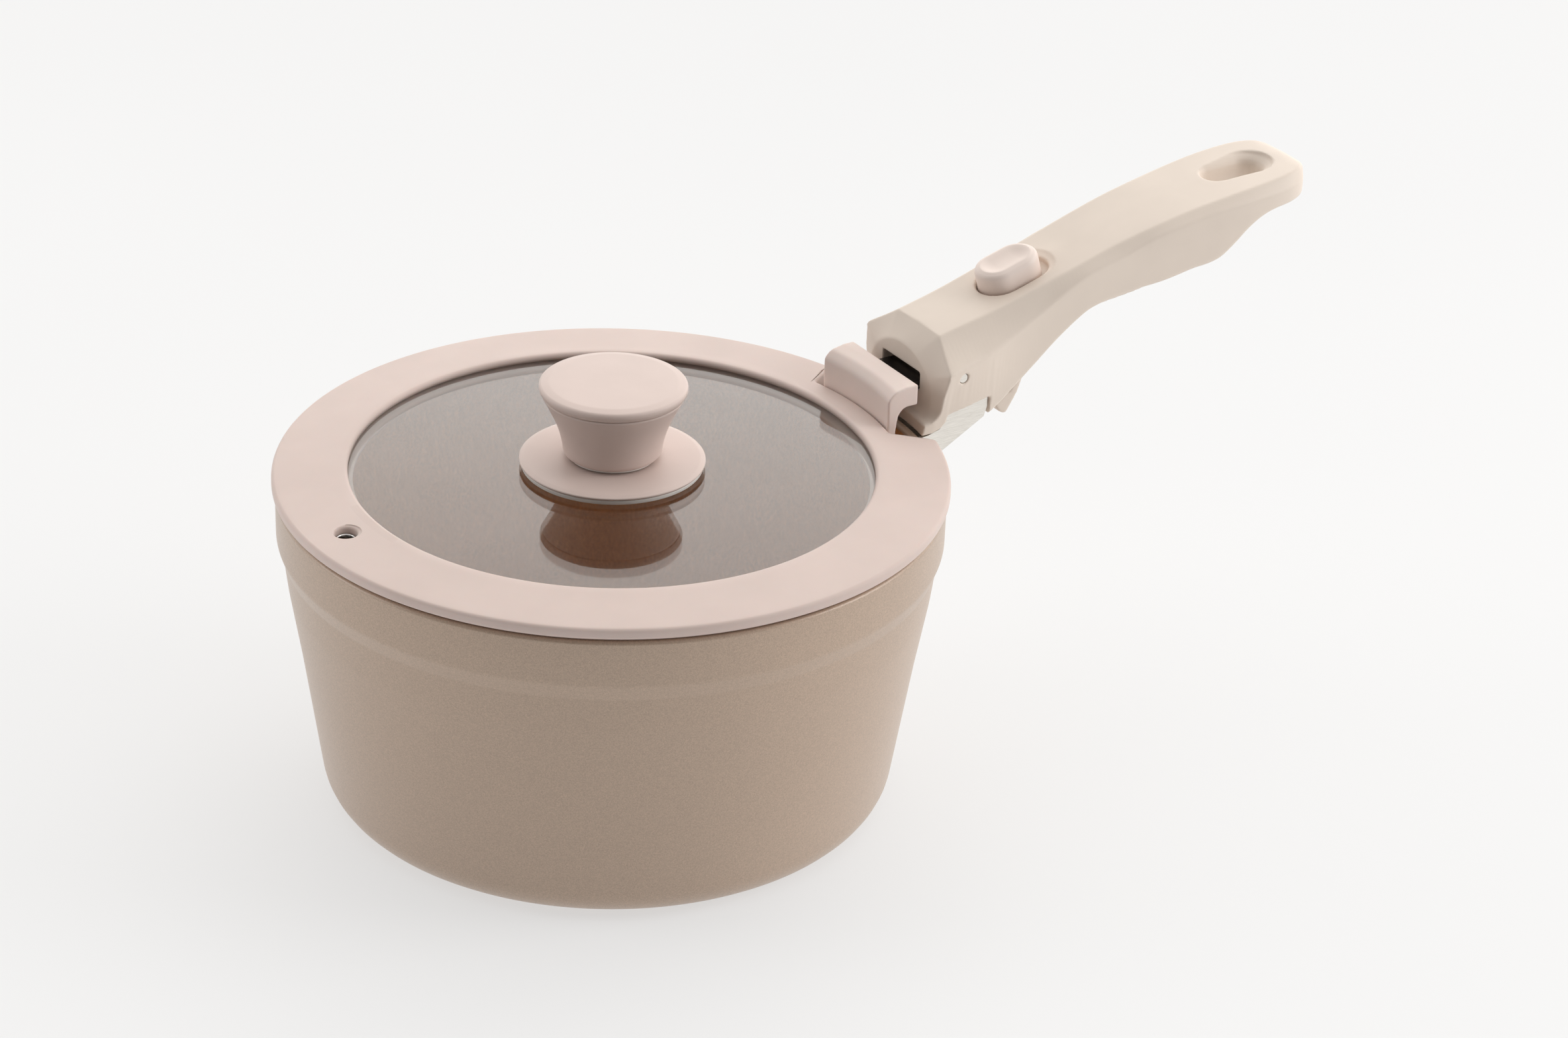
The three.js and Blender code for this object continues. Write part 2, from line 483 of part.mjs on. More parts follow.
function makeLever() {
  const below = [[183.7, 132.4], [173.4, 131.5], [163.3, 130], [153.5, 124.4], [146.5, 117.2], [143, 112.9],
    [140.2, 105.4]];
  const cheek = outline([[131.8, 104.8], [131.8, 108.5], [123.4, 115.4], [122.6, 118], [122.9, 120.6],
    [124, 121.6], [129, 121.6], [139, 116.8], [147, 121.5], [155, 128.6], [165, 135.5], [176, 139.5],
    [186, 143.3], [190, 143.8], [195, 141.5], [198, 138.2], [197, 135.8], [194, 133.4], ...below,
    [136.7, 100.2], [134.1, 101.7]]);
  const web = outline([...below.slice().reverse(), [194, 133.4], [197, 135.8], [194.5, 136.2],
    [183, 134.6], [172.6, 133.7], [162.3, 132.2], [152, 126.2], [144.6, 118.6], [140.6, 113.6], [138, 107]]);
  const nose = outline([[131.8, 104.8], [132.3, 107.2], [139.9, 107.2], [140.3, 105.4], [136.7, 100.2],
    [134.1, 101.7]]);
  const body = joined([
    across(cheek, CHEEK.inner, CHEEK.outer), across(cheek, -CHEEK.outer, -CHEEK.inner),
    across(web, -CHEEK.nose, CHEEK.nose), across(nose, -CHEEK.nose, CHEEK.nose),
  ]);
  const [endX, endZ] = slotEnd();
  const reach = Math.hypot(endX - CROSS_PIN.x, endZ - CROSS_PIN.z);
  const width = 2 * CROSS_PIN.radius + 0.9;
  const slot = new THREE.ExtrudeGeometry(pill(reach / 2, reach + width, width),
    { depth: 40, bevelEnabled: false, curveSegments: 6 });
  slot.rotateX(Math.PI / 2).translate(0, 20, 0);
  slot.rotateY(-Math.atan2(endZ - CROSS_PIN.z, endX - CROSS_PIN.x)).translate(CROSS_PIN.x, 0, CROSS_PIN.z);
  place('squeeze_lever', cutBy(body, [solid(slot), crossRod(PIVOT.x, PIVOT.z, PIVOT.radius + GAP, -20, 20)]),
    LOOK.cream);
}

// ---- release button and the pawl that it lifts ----
function makeButton() {
  const half = BUTTON.length / 2;
  const [s0, s1] = [BUTTON.centre - half, BUTTON.centre + half];
  const edge = 1.6;
  const cap = new THREE.ExtrudeGeometry(pill(BUTTON.centre, BUTTON.length - 2 * edge, BUTTON.width - 2 * edge), {
    depth: BUTTON.top - 2 * edge + WELL.depth - GAP, bevelThickness: edge, bevelSize: edge, bevelSegments: 3,
    curveSegments: 8,
  });
  const lowSkirt = slopePill(s0, s1, BUTTON.width, GAP - WELL.depth, 1);
  const raised = solid(onSlope(cap.translate(0, 0, GAP - WELL.depth + edge)));
  const tine = (near) => slopeBlock(PAWL_S + near, PAWL_S + near + 1.4, -3.4, 3.4, PAWL_N + 4, -2);
  place('release_button', joined([raised, lowSkirt, tine(1.65), tine(-3.05)]), LOOK.silicone);
}

function makePawl() {
  const [tipX, tipZ] = slopePoint(PAWL_S, PAWL_N + PAWL.finger);
  const hub = crossRod(PAWL.x, PAWL.z, 2.8, -3.4, 3.4);
  const tip = crossRod(tipX, tipZ, 1.2, -3.4, 3.4, 16);
  const finger = across(outline([slopePoint(PAWL_S - 1.15, PAWL_N), slopePoint(PAWL_S + 1.15, PAWL_N),
    slopePoint(PAWL_S + 1.15, PAWL_N + PAWL.finger), slopePoint(PAWL_S - 1.15, PAWL_N + PAWL.finger)]), -3.4, 3.4);
  const arm = across(outline([[139.6, 130], [130, 126.2], [127.4, 124.6], [127.4, 120.9], [129.4, 120.9],
    [129.9, 123.2], [139.5, 124.9]]), -3.4, 3.4);
  place('latch_pawl', joined([hub, tip, finger, arm])
    .subtract(crossRod(PAWL.x, PAWL.z, PAWL.radius + GAP, -5, 5)), LOOK.steel);
}

// ---- springs ----
function makeSprings() {
  const wire = 0.4;
  const slider = new Coil(SPRING_SEAT.front + GAP + wire, SPRING_SEAT.rear - GAP - wire, SPRING_SEAT.z, 2.2, 4.5);
  place('slider_spring', solid(wound(slider, wire)), LOOK.steel);
  const thin = 0.3;
  const button = new Coil(PAWL_S + 3.05 + GAP + thin, 4.5 - GAP - thin, -6.6, 1.6, 4.5);
  place('button_spring', solid(onSlope(wound(button, thin))), LOOK.steel);
}

makePan();
makeLid();
makeKnob();
makeHousing();
makeFixedSteel();
makeJaw();
makeLever();
makeButton();
makePawl();
makeSprings();

export default group;
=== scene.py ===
"""The looks of the saucepan, its glass lid and its clamp-on handle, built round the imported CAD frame.

Shapes are drawn in millimetres from the CAD nodes' boxes and turned into metres when a mesh is made.
+X runs out along the handle, +Z up, and the pan stands on z = 0.
"""
import math

import bmesh
import bpy
from mathutils import Matrix, Vector


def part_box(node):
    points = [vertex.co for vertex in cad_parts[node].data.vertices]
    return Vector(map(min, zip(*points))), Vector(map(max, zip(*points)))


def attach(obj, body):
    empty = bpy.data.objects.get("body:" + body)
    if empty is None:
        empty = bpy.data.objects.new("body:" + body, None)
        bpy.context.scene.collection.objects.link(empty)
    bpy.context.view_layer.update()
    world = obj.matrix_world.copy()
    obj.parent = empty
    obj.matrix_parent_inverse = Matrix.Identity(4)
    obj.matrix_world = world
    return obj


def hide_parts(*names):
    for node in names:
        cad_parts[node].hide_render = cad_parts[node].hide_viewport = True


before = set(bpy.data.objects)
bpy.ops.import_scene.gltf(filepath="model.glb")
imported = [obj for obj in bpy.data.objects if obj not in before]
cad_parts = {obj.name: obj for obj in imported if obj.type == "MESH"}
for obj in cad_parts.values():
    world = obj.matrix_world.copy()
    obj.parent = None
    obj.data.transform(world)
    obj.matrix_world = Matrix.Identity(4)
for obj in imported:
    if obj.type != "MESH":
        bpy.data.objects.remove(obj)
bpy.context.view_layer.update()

MM = 0.001

# ---- places, from the CAD frame, in millimetres ----


def box_mm(node):
    low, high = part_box(node)
    return low / MM, high / MM


PAN_HIGH = box_mm("pan_shell")[1]
DISC_HIGH = box_mm("base_disc")[1]
RIM_HIGH = box_mm("lid_rim")[1]
GLASS_LOW, GLASS_HIGH = box_mm("lid_glass")
FLANGE_LOW, FLANGE_HIGH = box_mm("knob_flange")
GASKET_HIGH = box_mm("knob_gasket")[1]
NECK_LOW, NECK_HIGH = box_mm("knob_body")
CAP_LOW, CAP_HIGH = box_mm("knob_cap")
PAD_LOW, PAD_HIGH = box_mm("jaw_pad")
EYELET_LOW, EYELET_HIGH = box_mm("vent_eyelet")
GUIDE_LOW, GUIDE_HIGH = box_mm("guide_pin")
LEVER_PIN_LOW, LEVER_PIN_HIGH = box_mm("lever_pivot_pin")

PAN_RADIUS = PAN_HIGH.x
PAN_TOP = PAN_HIGH.z
LID_RADIUS = RIM_HIGH.y
LIP_TOP = RIM_HIGH.z
OPENING_RADIUS = 80.0
GLASS_RADIUS = GLASS_HIGH.x
GLASS_THICK = 4.0
GLASS_RISE = (GLASS_HIGH.z - GLASS_LOW.z) - GLASS_THICK
VENT_X = (EYELET_LOW.x + EYELET_HIGH.x) / 2
CLEAR_RADIUS = 102.8                       # the housing's foot stays outside this radius
SLOPE_AT = Vector((143.4, 0.0, 139.8))     # a point of the handle's top face, under the button
SLOPE = math.radians(16.3)
SLIDER_HALF = 10.0                         # half the width of the slider's bar
WALL = 2.4                                 # the handle's wall
NOTCH_RADIUS = 89.6                        # how far out the lid's rim reaches at the handle
LEVER_ROOM_END = 199.0                     # the lever's opening in the housing ends here
PAWL_FINGER = -6.24                        # the pawl's finger, along the slope
TINE = 1.4                                 # thickness of the button's two tines beside that finger


# ---- curves and outlines ----
def spline(pairs):
    """A smooth function through (x, value) pairs."""
    xs = [p[0] for p in pairs]
    ys = [p[1] for p in pairs]
    last = len(xs) - 1
    slopes = []
    for i in range(last + 1):
        a, b = max(i - 1, 0), min(i + 1, last)
        slopes.append((ys[b] - ys[a]) / (xs[b] - xs[a]))

    def value(x):
        x = min(max(x, xs[0]), xs[-1])
        i = min(max(k for k in range(last + 1) if xs[k] <= x), last - 1)
        span = xs[i + 1] - xs[i]
        t = (x - xs[i]) / span
        rise = t * t * (3 - 2 * t)
        bend = span * t * (1 - t) * ((1 - t) * slopes[i] - t * slopes[i + 1])
        return ys[i] + (ys[i + 1] - ys[i]) * rise + bend

    return value


def rounded(points, steps=5):
    """A closed polygon of (a, b, radius) corners as plain points, each corner turned into an arc."""
    result = []
    count = len(points)
    for i, (px, py, radius) in enumerate(points):
        here = Vector((px, py))
        before = Vector(points[i - 1][:2]) - here
        after = Vector(points[(i + 1) % count][:2]) - here
        if radius <= 0 or before.length < 1e-6 or after.length < 1e-6:
            result.append((px, py))
            continue
        turn = before.angle(after)
        if turn > math.pi - 0.02:
            result.append((px, py))
            continue
        reach = min(radius / math.tan(turn / 2), 0.48 * before.length, 0.48 * after.length)
        radius = reach * math.tan(turn / 2)
        middle = (before.normalized() + after.normalized()).normalized()
        centre = here + middle * (radius / math.sin(turn / 2))
        first = here + before.normalized() * reach - centre
        final = here + after.normalized() * reach - centre
        sweep = math.pi - turn
        for k in range(steps + 1):
            t = k / steps
            arm = (first * math.sin((1 - t) * sweep) + final * math.sin(t * sweep)) / math.sin(sweep)
            result.append(tuple(centre + arm))
    return result


def stadium(x, length, width, inset=0.0, steps=14):
    """A rectangle with round ends, centred on (x, 0), counter-clockwise."""
    radius = width / 2 - inset
    reach = length / 2 - width / 2
    points = []
    for end, start in ((1, -math.pi / 2), (-1, math.pi / 2)):
        for k in range(steps + 1):
            angle = start + math.pi * k / steps
            points.append((x + end * reach + radius * math.cos(angle), radius * math.sin(angle)))
    return points


def off_slope(s, y, n):
    """A point given along and off the sloping top face."""
    cos, sin = math.cos(SLOPE), math.sin(SLOPE)
    return SLOPE_AT + Vector((s * cos - n * sin, y, s * sin + n * cos))


# ---- meshes ----
def make_mesh(name, points, faces, smooth=True):
    mesh = bpy.data.meshes.new(name)
    mesh.from_pydata([tuple(Vector(p) * MM) for p in points], [], faces)
    mesh.validate()
    mesh.update()
    piece = bpy.data.objects.new(name, mesh)
    bpy.context.scene.collection.objects.link(piece)
    if smooth:
        for polygon in mesh.polygons:
            polygon.use_smooth = True
    return piece


def strip(rings, closed_rings=True, wrap=False):
    """Quads between neighbouring rings of equal size."""
    size = len(rings[0])
    faces = []
    spans = len(rings) if wrap else len(rings) - 1
    for r in range(spans):
        a, b = r * size, ((r + 1) % len(rings)) * size
        for k in range(size if closed_rings else size - 1):
            n = (k + 1) % size
            faces.append((a + k, a + n, b + n, b + k))
    return faces


def stacked(name, rings, smooth=True):
    """A closed solid through a stack of equal rings, with a flat cap on each end."""
    points = [p for ring in rings for p in ring]
    size = len(rings[0])
    faces = strip(rings)
    faces.append(tuple(reversed(range(size))))
    faces.append(tuple(range(len(points) - size, len(points))))
    return facing_out(make_mesh(name, points, faces, smooth))


def turned(name, profile, segments=192):
    """A closed profile of (radius, z), turned about the Z axis. Points on the axis become poles."""
    points, rings = [], []
    for radius, z in profile:
        start = len(points)
        if radius < 1e-6:
            points.append((0, 0, z))
            rings.append([start] * segments)
            continue
        for k in range(segments):
            angle = 2 * math.pi * k / segments
            points.append((radius * math.cos(angle), radius * math.sin(angle), z))
        rings.append(list(range(start, start + segments)))
    faces = []
    for i, ring in enumerate(rings):
        after = rings[(i + 1) % len(rings)]
        if ring[0] == ring[-1] and after[0] == after[-1]:
            continue
        for k in range(segments):
            n = (k + 1) % segments
            corners = [ring[k], ring[n], after[n], after[k]]
            kept = [c for j, c in enumerate(corners) if c not in corners[:j]]
            faces.append(tuple(kept))
    return facing_out(make_mesh(name, points, faces))


def facing_out(piece):
    """Turns every face of a closed piece outwards."""
    bm = bmesh.new()
    bm.from_mesh(piece.data)
    bmesh.ops.recalc_face_normals(bm, faces=bm.faces)
    bm.to_mesh(piece.data)
    bm.free()
    return piece


def extruded(name, outline, place, low, high):
    """An outline swept from low to high; place(a, b, depth) gives each corner's position."""
    return stacked(name, [[place(a, b, low) for a, b in outline], [place(a, b, high) for a, b in outline]])


def crosswise(name, outline, y0, y1):
    return extruded(name, outline, lambda x, z, y: (x, y, z), y0, y1)


def block(name, low, high):
    (x0, y0, z0), (x1, y1, z1) = low, high
    return crosswise(name, [(x0, z0), (x1, z0), (x1, z1), (x0, z1)], y0, y1)


def cross_rod(name, x, z, radius, y0, y1, sides=40):
    ring = [(x + radius * math.cos(2 * math.pi * k / sides), z + radius * math.sin(2 * math.pi * k / sides))
            for k in range(sides)]
    return crosswise(name, ring, y0, y1)


def settle(piece):
    """Turns the piece's modifiers into its mesh."""
    graph = bpy.context.evaluated_depsgraph_get()
    mesh = bpy.data.meshes.new_from_object(piece.evaluated_get(graph))
    piece.modifiers.clear()
    piece.data = mesh
    for polygon in mesh.polygons:
        polygon.use_smooth = True
    return piece


def combine(piece, others, operation):
    """Joins or cuts other closed pieces, which are used up."""
    for other in others:
        boolean = piece.modifiers.new("shape", "BOOLEAN")
        boolean.operation = operation
        boolean.object = other
        boolean.solver = "EXACT"
    settle(piece)
    for other in others:
        bpy.data.objects.remove(other)
    return piece


def moulded(piece, voxel, passes):
    """Rounds every edge a little, as a mould does: a fine even skin, then smoothed."""
    remesh = piece.modifiers.new("skin", "REMESH")
    remesh.mode = "VOXEL"
    remesh.voxel_size = voxel * MM
    remesh.use_smooth_shade = True
    smooth = piece.modifiers.new("soften", "SMOOTH")
    smooth.factor = 0.5
    smooth.iterations = passes
    return settle(piece)


def finish_piece(piece, body, slot, material, *nodes):
    if material is not None:
        piece.data.materials.clear()
        piece.data.materials.append(material)
    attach(piece, body)
    if nodes:
        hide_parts(*nodes)
    return piece


# ---- materials ----
class Nodes:
    """A small helper for building one material's node tree on the object's own coordinates."""

    def __init__(self, name):
        self.material = bpy.data.materials.new(name)
        self.material.use_nodes = True
        self.tree = self.material.node_tree
        self.shader = self.tree.nodes["Principled BSDF"]
        self.place = self.tree.nodes.new("ShaderNodeTexCoord").outputs["Object"]

    def link(self, source, target):
        self.tree.links.new(source, target)

    def set(self, **values):
        for key, value in values.items():
            self.shader.inputs[key.replace("_", " ")].default_value = value
        return self

    def stretched(self, scale):
        mapping = self.tree.nodes.new("ShaderNodeMapping")
        mapping.inputs["Scale"].default_value = scale
        self.link(self.place, mapping.inputs["Vector"])
        return mapping.outputs["Vector"]

    def noise(self, per_metre, detail=2.0, rough=0.5, vector=None):
        texture = self.tree.nodes.new("ShaderNodeTexNoise")
        texture.inputs["Scale"].default_value = per_metre
        texture.inputs["Detail"].default_value = detail
        texture.inputs["Roughness"].default_value = rough
        self.link(vector or self.place, texture.inputs["Vector"])
        return texture.outputs["Fac"]

    def cells(self, per_metre, output="Distance"):
        texture = self.tree.nodes.new("ShaderNodeTexVoronoi")
        texture.inputs["Scale"].default_value = per_metre
        self.link(self.place, texture.inputs["Vector"])
        return texture.outputs[output]

    def ramp(self, factor, stops):
        node = self.tree.nodes.new("ShaderNodeValToRGB")
        elements = node.color_ramp.elements
        while len(elements) < len(stops):
            elements.new(0.5)
        for element, (position, color) in zip(elements, stops):
            element.position = position
            element.color = (*color, 1) if len(color) == 3 else color
        self.link(factor, node.inputs["Fac"])
        return node.outputs["Color"]

    def scaled(self, factor, low, high, from_low=0.3, from_high=0.7):
        node = self.tree.nodes.new("ShaderNodeMapRange")
        limits = {"From Min": from_low, "From Max": from_high, "To Min": low, "To Max": high}
        for key, value in limits.items():
            node.inputs[key].default_value = value
        self.link(factor, node.inputs["Value"])
        return node.outputs["Result"]

    def mix(self, factor, first, second, mode="MIX"):
        node = self.tree.nodes.new("ShaderNodeMix")
        node.data_type = "RGBA"
        node.blend_type = mode
        for value, key in ((factor, "Factor"), (first, "A"), (second, "B")):
            socket = node.inputs[key]
            if isinstance(value, bpy.types.NodeSocket):
                self.link(value, socket)
            else:
                socket.default_value = value
        return node.outputs["Result"]

    def bump(self, factor, distance, strength=0.5):
        node = self.tree.nodes.new("ShaderNodeBump")
        node.inputs["Distance"].default_value = distance
        node.inputs["Strength"].default_value = strength
        previous = self.shader.inputs["Normal"]
        if previous.is_linked:
            self.link(previous.links[0].from_socket, node.inputs["Normal"])
        self.link(factor, node.inputs["Height"])
        self.link(node.outputs["Normal"], previous)

    def color(self, socket):
        self.link(socket, self.shader.inputs["Base Color"])

    def roughness(self, socket):
        self.link(socket, self.shader.inputs["Roughness"])


def linear(red, green, blue):
    """A colour given as sRGB bytes, as linear values."""
    def channel(v):
        v /= 255
        return v / 12.92 if v <= 0.04045 else ((v + 0.055) / 1.055) ** 2.4
    return (channel(red), channel(green), channel(blue))


def tinted(color, amount):
    return tuple(min(1.0, c * amount) for c in color)


def soft_matte(name, color, rough, grain, relief):
    """Silicone or textured plastic: faint mottling, a fine spark-eroded grain and slightly uneven gloss."""
    n = Nodes(name)
    mottle = n.noise(45, 3)
    n.color(n.ramp(mottle, [(0.3, tinted(color, 0.965)), (0.7, tinted(color, 1.025))]))
    fine = n.noise(grain, 2)
    n.roughness(n.scaled(fine, rough - 0.05, rough + 0.05))
    n.bump(fine, relief, 0.35)
    n.bump(n.noise(260, 2), 0.00004, 0.15)
    return n


def silicone():
    n = soft_matte("silicone_pink", linear(214, 195, 187), 0.6, 5200, 0.00002)
    n.set(Specular_IOR_Level=0.42, Subsurface_Weight=0.08, Subsurface_Scale=0.002, Sheen_Weight=0.12,
          Sheen_Roughness=0.5)
    return n.material


def jaw_silicone():
    n = soft_matte("jaw_silicone", linear(233, 216, 208), 0.58, 5200, 0.00002)
    n.set(Specular_IOR_Level=0.42, Subsurface_Weight=0.08, Subsurface_Scale=0.002)
    return n.material


def knob_pink():
    n = soft_matte("knob_pink", linear(217, 198, 190), 0.5, 6000, 0.000015)
    n.set(Specular_IOR_Level=0.45, Sheen_Weight=0.06, Sheen_Roughness=0.5)
    return n.material


def button_pink():
    n = soft_matte("button_pink", linear(240, 224, 215), 0.52, 6500, 0.00002)
    n.set(Specular_IOR_Level=0.45)
    return n.material


def handle_cream():
    n = soft_matte("handle_cream", linear(230, 216, 203), 0.5, 4200, 0.00003)
    n.set(Specular_IOR_Level=0.45)
    return n.material


def clear_silicone():
    n = soft_matte("clear_silicone", linear(248, 244, 239), 0.45, 3000, 0.00001)
    n.set(Specular_IOR_Level=0.4)
    return n.material


def pan_coating():
    """Satin enamel with a fine metallic flake and a slow drift of tone over the wall."""
    n = Nodes("pan_coating")
    base = (0.49, 0.365, 0.275)
    drift = n.ramp(n.noise(9, 2), [(0.35, tinted(base, 0.97)), (0.65, tinted(base, 1.03))])
    flake = n.cells(3400, "Color")
    bright = n.ramp(flake, [(0.0, (0.84, 0.84, 0.84)), (0.55, (1, 1, 1)), (1.0, (1.16, 1.15, 1.14))])
    n.color(n.mix(1.0, drift, bright, "MULTIPLY"))
    n.roughness(n.scaled(n.noise(2600, 1), 0.36, 0.5))
    n.bump(n.noise(2400, 3), 0.00002, 0.3)
    n.bump(n.noise(180, 2), 0.00006, 0.12)
    n.set(Metallic=0.12, Specular_IOR_Level=0.5, Coat_Weight=0.42, Coat_Roughness=0.3)
    return n.material


def pan_inside():
    """The darker non-stick inside, seen only through the glass; its warm orange is partly the coating's own
    colour and partly painted warm light bounced from the pink silicone.
    """
    n = Nodes("pan_inside")
    # part painted light: this orange is the coating's colour plus painted warm bounce light from the pink
    # silicone
    base = (0.66, 0.36, 0.155)
    n.color(n.ramp(n.noise(1500, 2), [(0.35, tinted(base, 0.8)), (0.7, tinted(base, 1.15))]))
    n.roughness(n.scaled(n.noise(900, 2), 0.4, 0.55))
    n.bump(n.noise(1800, 2), 0.00002, 0.3)
    n.set(Specular_IOR_Level=0.4)
    return n.material


def ringed_steel():
    """Steel turned in fine rings, for the base disc."""
    n = Nodes("base_steel")
    split = n.tree.nodes.new("ShaderNodeVectorMath")
    split.operation = "LENGTH"
    flat = n.stretched((1, 1, 0))
    n.link(flat, split.inputs[0])
    rings = n.tree.nodes.new("ShaderNodeTexNoise")
    rings.noise_dimensions = "1D"
    rings.inputs["Scale"].default_value = 2600
    rings.inputs["Detail"].default_value = 4
    n.link(split.outputs["Value"], rings.inputs["W"])
    n.color(n.ramp(rings.outputs["Fac"], [(0.3, (0.36, 0.355, 0.35)), (0.7, (0.52, 0.515, 0.51))]))
    n.roughness(n.scaled(rings.outputs["Fac"], 0.24, 0.42))
    n.bump(rings.outputs["Fac"], 0.00002, 0.4)
    n.set(Metallic=1.0)
    return n.material


def satin_steel():
    n = Nodes("satin_steel")
    brushed = n.noise(60, 4, 0.6, n.stretched((4, 90, 90)))
    n.color(n.ramp(brushed, [(0.3, (0.7, 0.665, 0.61)), (0.7, (0.88, 0.845, 0.79))]))
    n.roughness(n.scaled(brushed, 0.26, 0.42))
    n.bump(brushed, 0.00001, 0.3)
    n.set(Metallic=1.0)
    return n.material


def bright_steel():
    n = Nodes("bright_steel")
    grain = n.noise(1200, 3)
    n.color(n.ramp(grain, [(0.3, (0.6, 0.6, 0.59)), (0.7, (0.74, 0.735, 0.73))]))
    n.roughness(n.scaled(grain, 0.12, 0.26))
    n.bump(grain, 0.00001, 0.2)
    n.set(Metallic=1.0)
    return n.material


def black_coat():
    n = Nodes("black_coat")
    n.color(n.ramp(n.noise(700, 3), [(0.3, (0.008, 0.007, 0.007)), (0.7, (0.02, 0.018, 0.017))]))
    n.roughness(n.scaled(n.noise(900, 2), 0.1, 0.2))
    n.bump(n.noise(1400, 2), 0.00002, 0.25)
    n.set(Specular_IOR_Level=0.6, Coat_Weight=0.5, Coat_Roughness=0.06)
    return n.material


def lid_glass():
    """Toughened glass: clear, faintly grey, with a trace of wiping marks in its gloss."""
    n = Nodes("lid_glass")
    n.color(n.ramp(n.noise(30, 3), [(0.3, (0.91, 0.895, 0.87)), (0.7, (0.95, 0.935, 0.915))]))
    n.roughness(n.scaled(n.noise(120, 4), 0.015, 0.045))
    n.bump(n.noise(14, 2), 0.00006, 0.1)
    n.set(Transmission_Weight=1.0, IOR=1.5)
    return n.material


# ---- pan ----
def build_pan():
    lean = math.tan(math.radians(8.7))
    corner_r = 68.3 + 22 * math.tan(math.radians(81.3 / 2))
    inner = PAN_RADIUS - 3
    recess = DISC_HIGH.x + 0.3
    roof = DISC_HIGH.z + 0.3
    profile = rounded([
        (0, roof, 0), (recess, roof, 0.2), (recess, 0, 0.15), (corner_r, 0, 22),
        (corner_r + 50 * lean, 50, 60), (98.45, 71, 60), (99.95, 82.6, 5), (PAN_RADIUS - 0.15, 87.8, 5),
        (PAN_RADIUS, PAN_TOP, 1.2), (inner, PAN_TOP, 1.2), (inner - 0.3, 88, 8), (96.4, 76, 20),
        (90.9 - 3, 24, 0), (corner_r - 2, 5, 20), (0, 5, 0),
    ], 8)
    shell = turned("pan_wall", profile, 256)
    inside = pan_inside()
    shell.data.materials.append(pan_coating())
    shell.data.materials.append(inside)
    for polygon in shell.data.polygons:
        centre = polygon.center / MM
        radial = math.hypot(centre.x, centre.y)
        if centre.z > roof + 1 and radial < inner + 0.4 and centre.z < PAN_TOP - 1.5 and \
                polygon.normal.x * centre.x + polygon.normal.y * centre.y < 0.15 * radial:
            polygon.material_index = 1
    finish_piece(shell, "pan", "pan_coating", None, "pan_shell")

    radius, thick = DISC_HIGH.x, DISC_HIGH.z
    grooves = []
    for ring in range(11, 1, -1):
        r = ring * radius / 12
        grooves += [(r + 1.1, 0, 0), (r + 0.7, 0.35, 0), (r - 0.7, 0.35, 0), (r - 1.1, 0, 0)]
    disc = turned("induction_disc", rounded([(0, thick, 0), (radius, thick, 0.2), (radius, 0, 0.3),
                                             *grooves, (0, 0, 0)], 3), 128)
    finish_piece(disc, "pan", "base_steel", ringed_steel(), "base_disc")


# ---- lid ----
def rim_outline():
    """The rim's outer edge in plan, as (angle, radius) with the handle's notch at angle 0."""
    notch, mouth = NOTCH_RADIUS, LID_RADIUS
    flank = spline([(13.35, notch), (13.9, 90.6), (14.7, 93.6), (15.7, 97.6), (16.5, 100.8), (17.1, 102.6),
                    (17.7, mouth), (18.6, mouth)])
    angles = [a * 0.5 for a in range(0, 27)] + [13.3 + 0.12 * k for k in range(1, 45)]
    angles += [19 + k for k in range(0, 161)]
    half = [(math.radians(a), notch if a <= 13.35 else (flank(a) if a < 18.6 else mouth)) for a in angles]
    return half + [(2 * math.pi - a, r) for a, r in reversed(half[1:-1])]


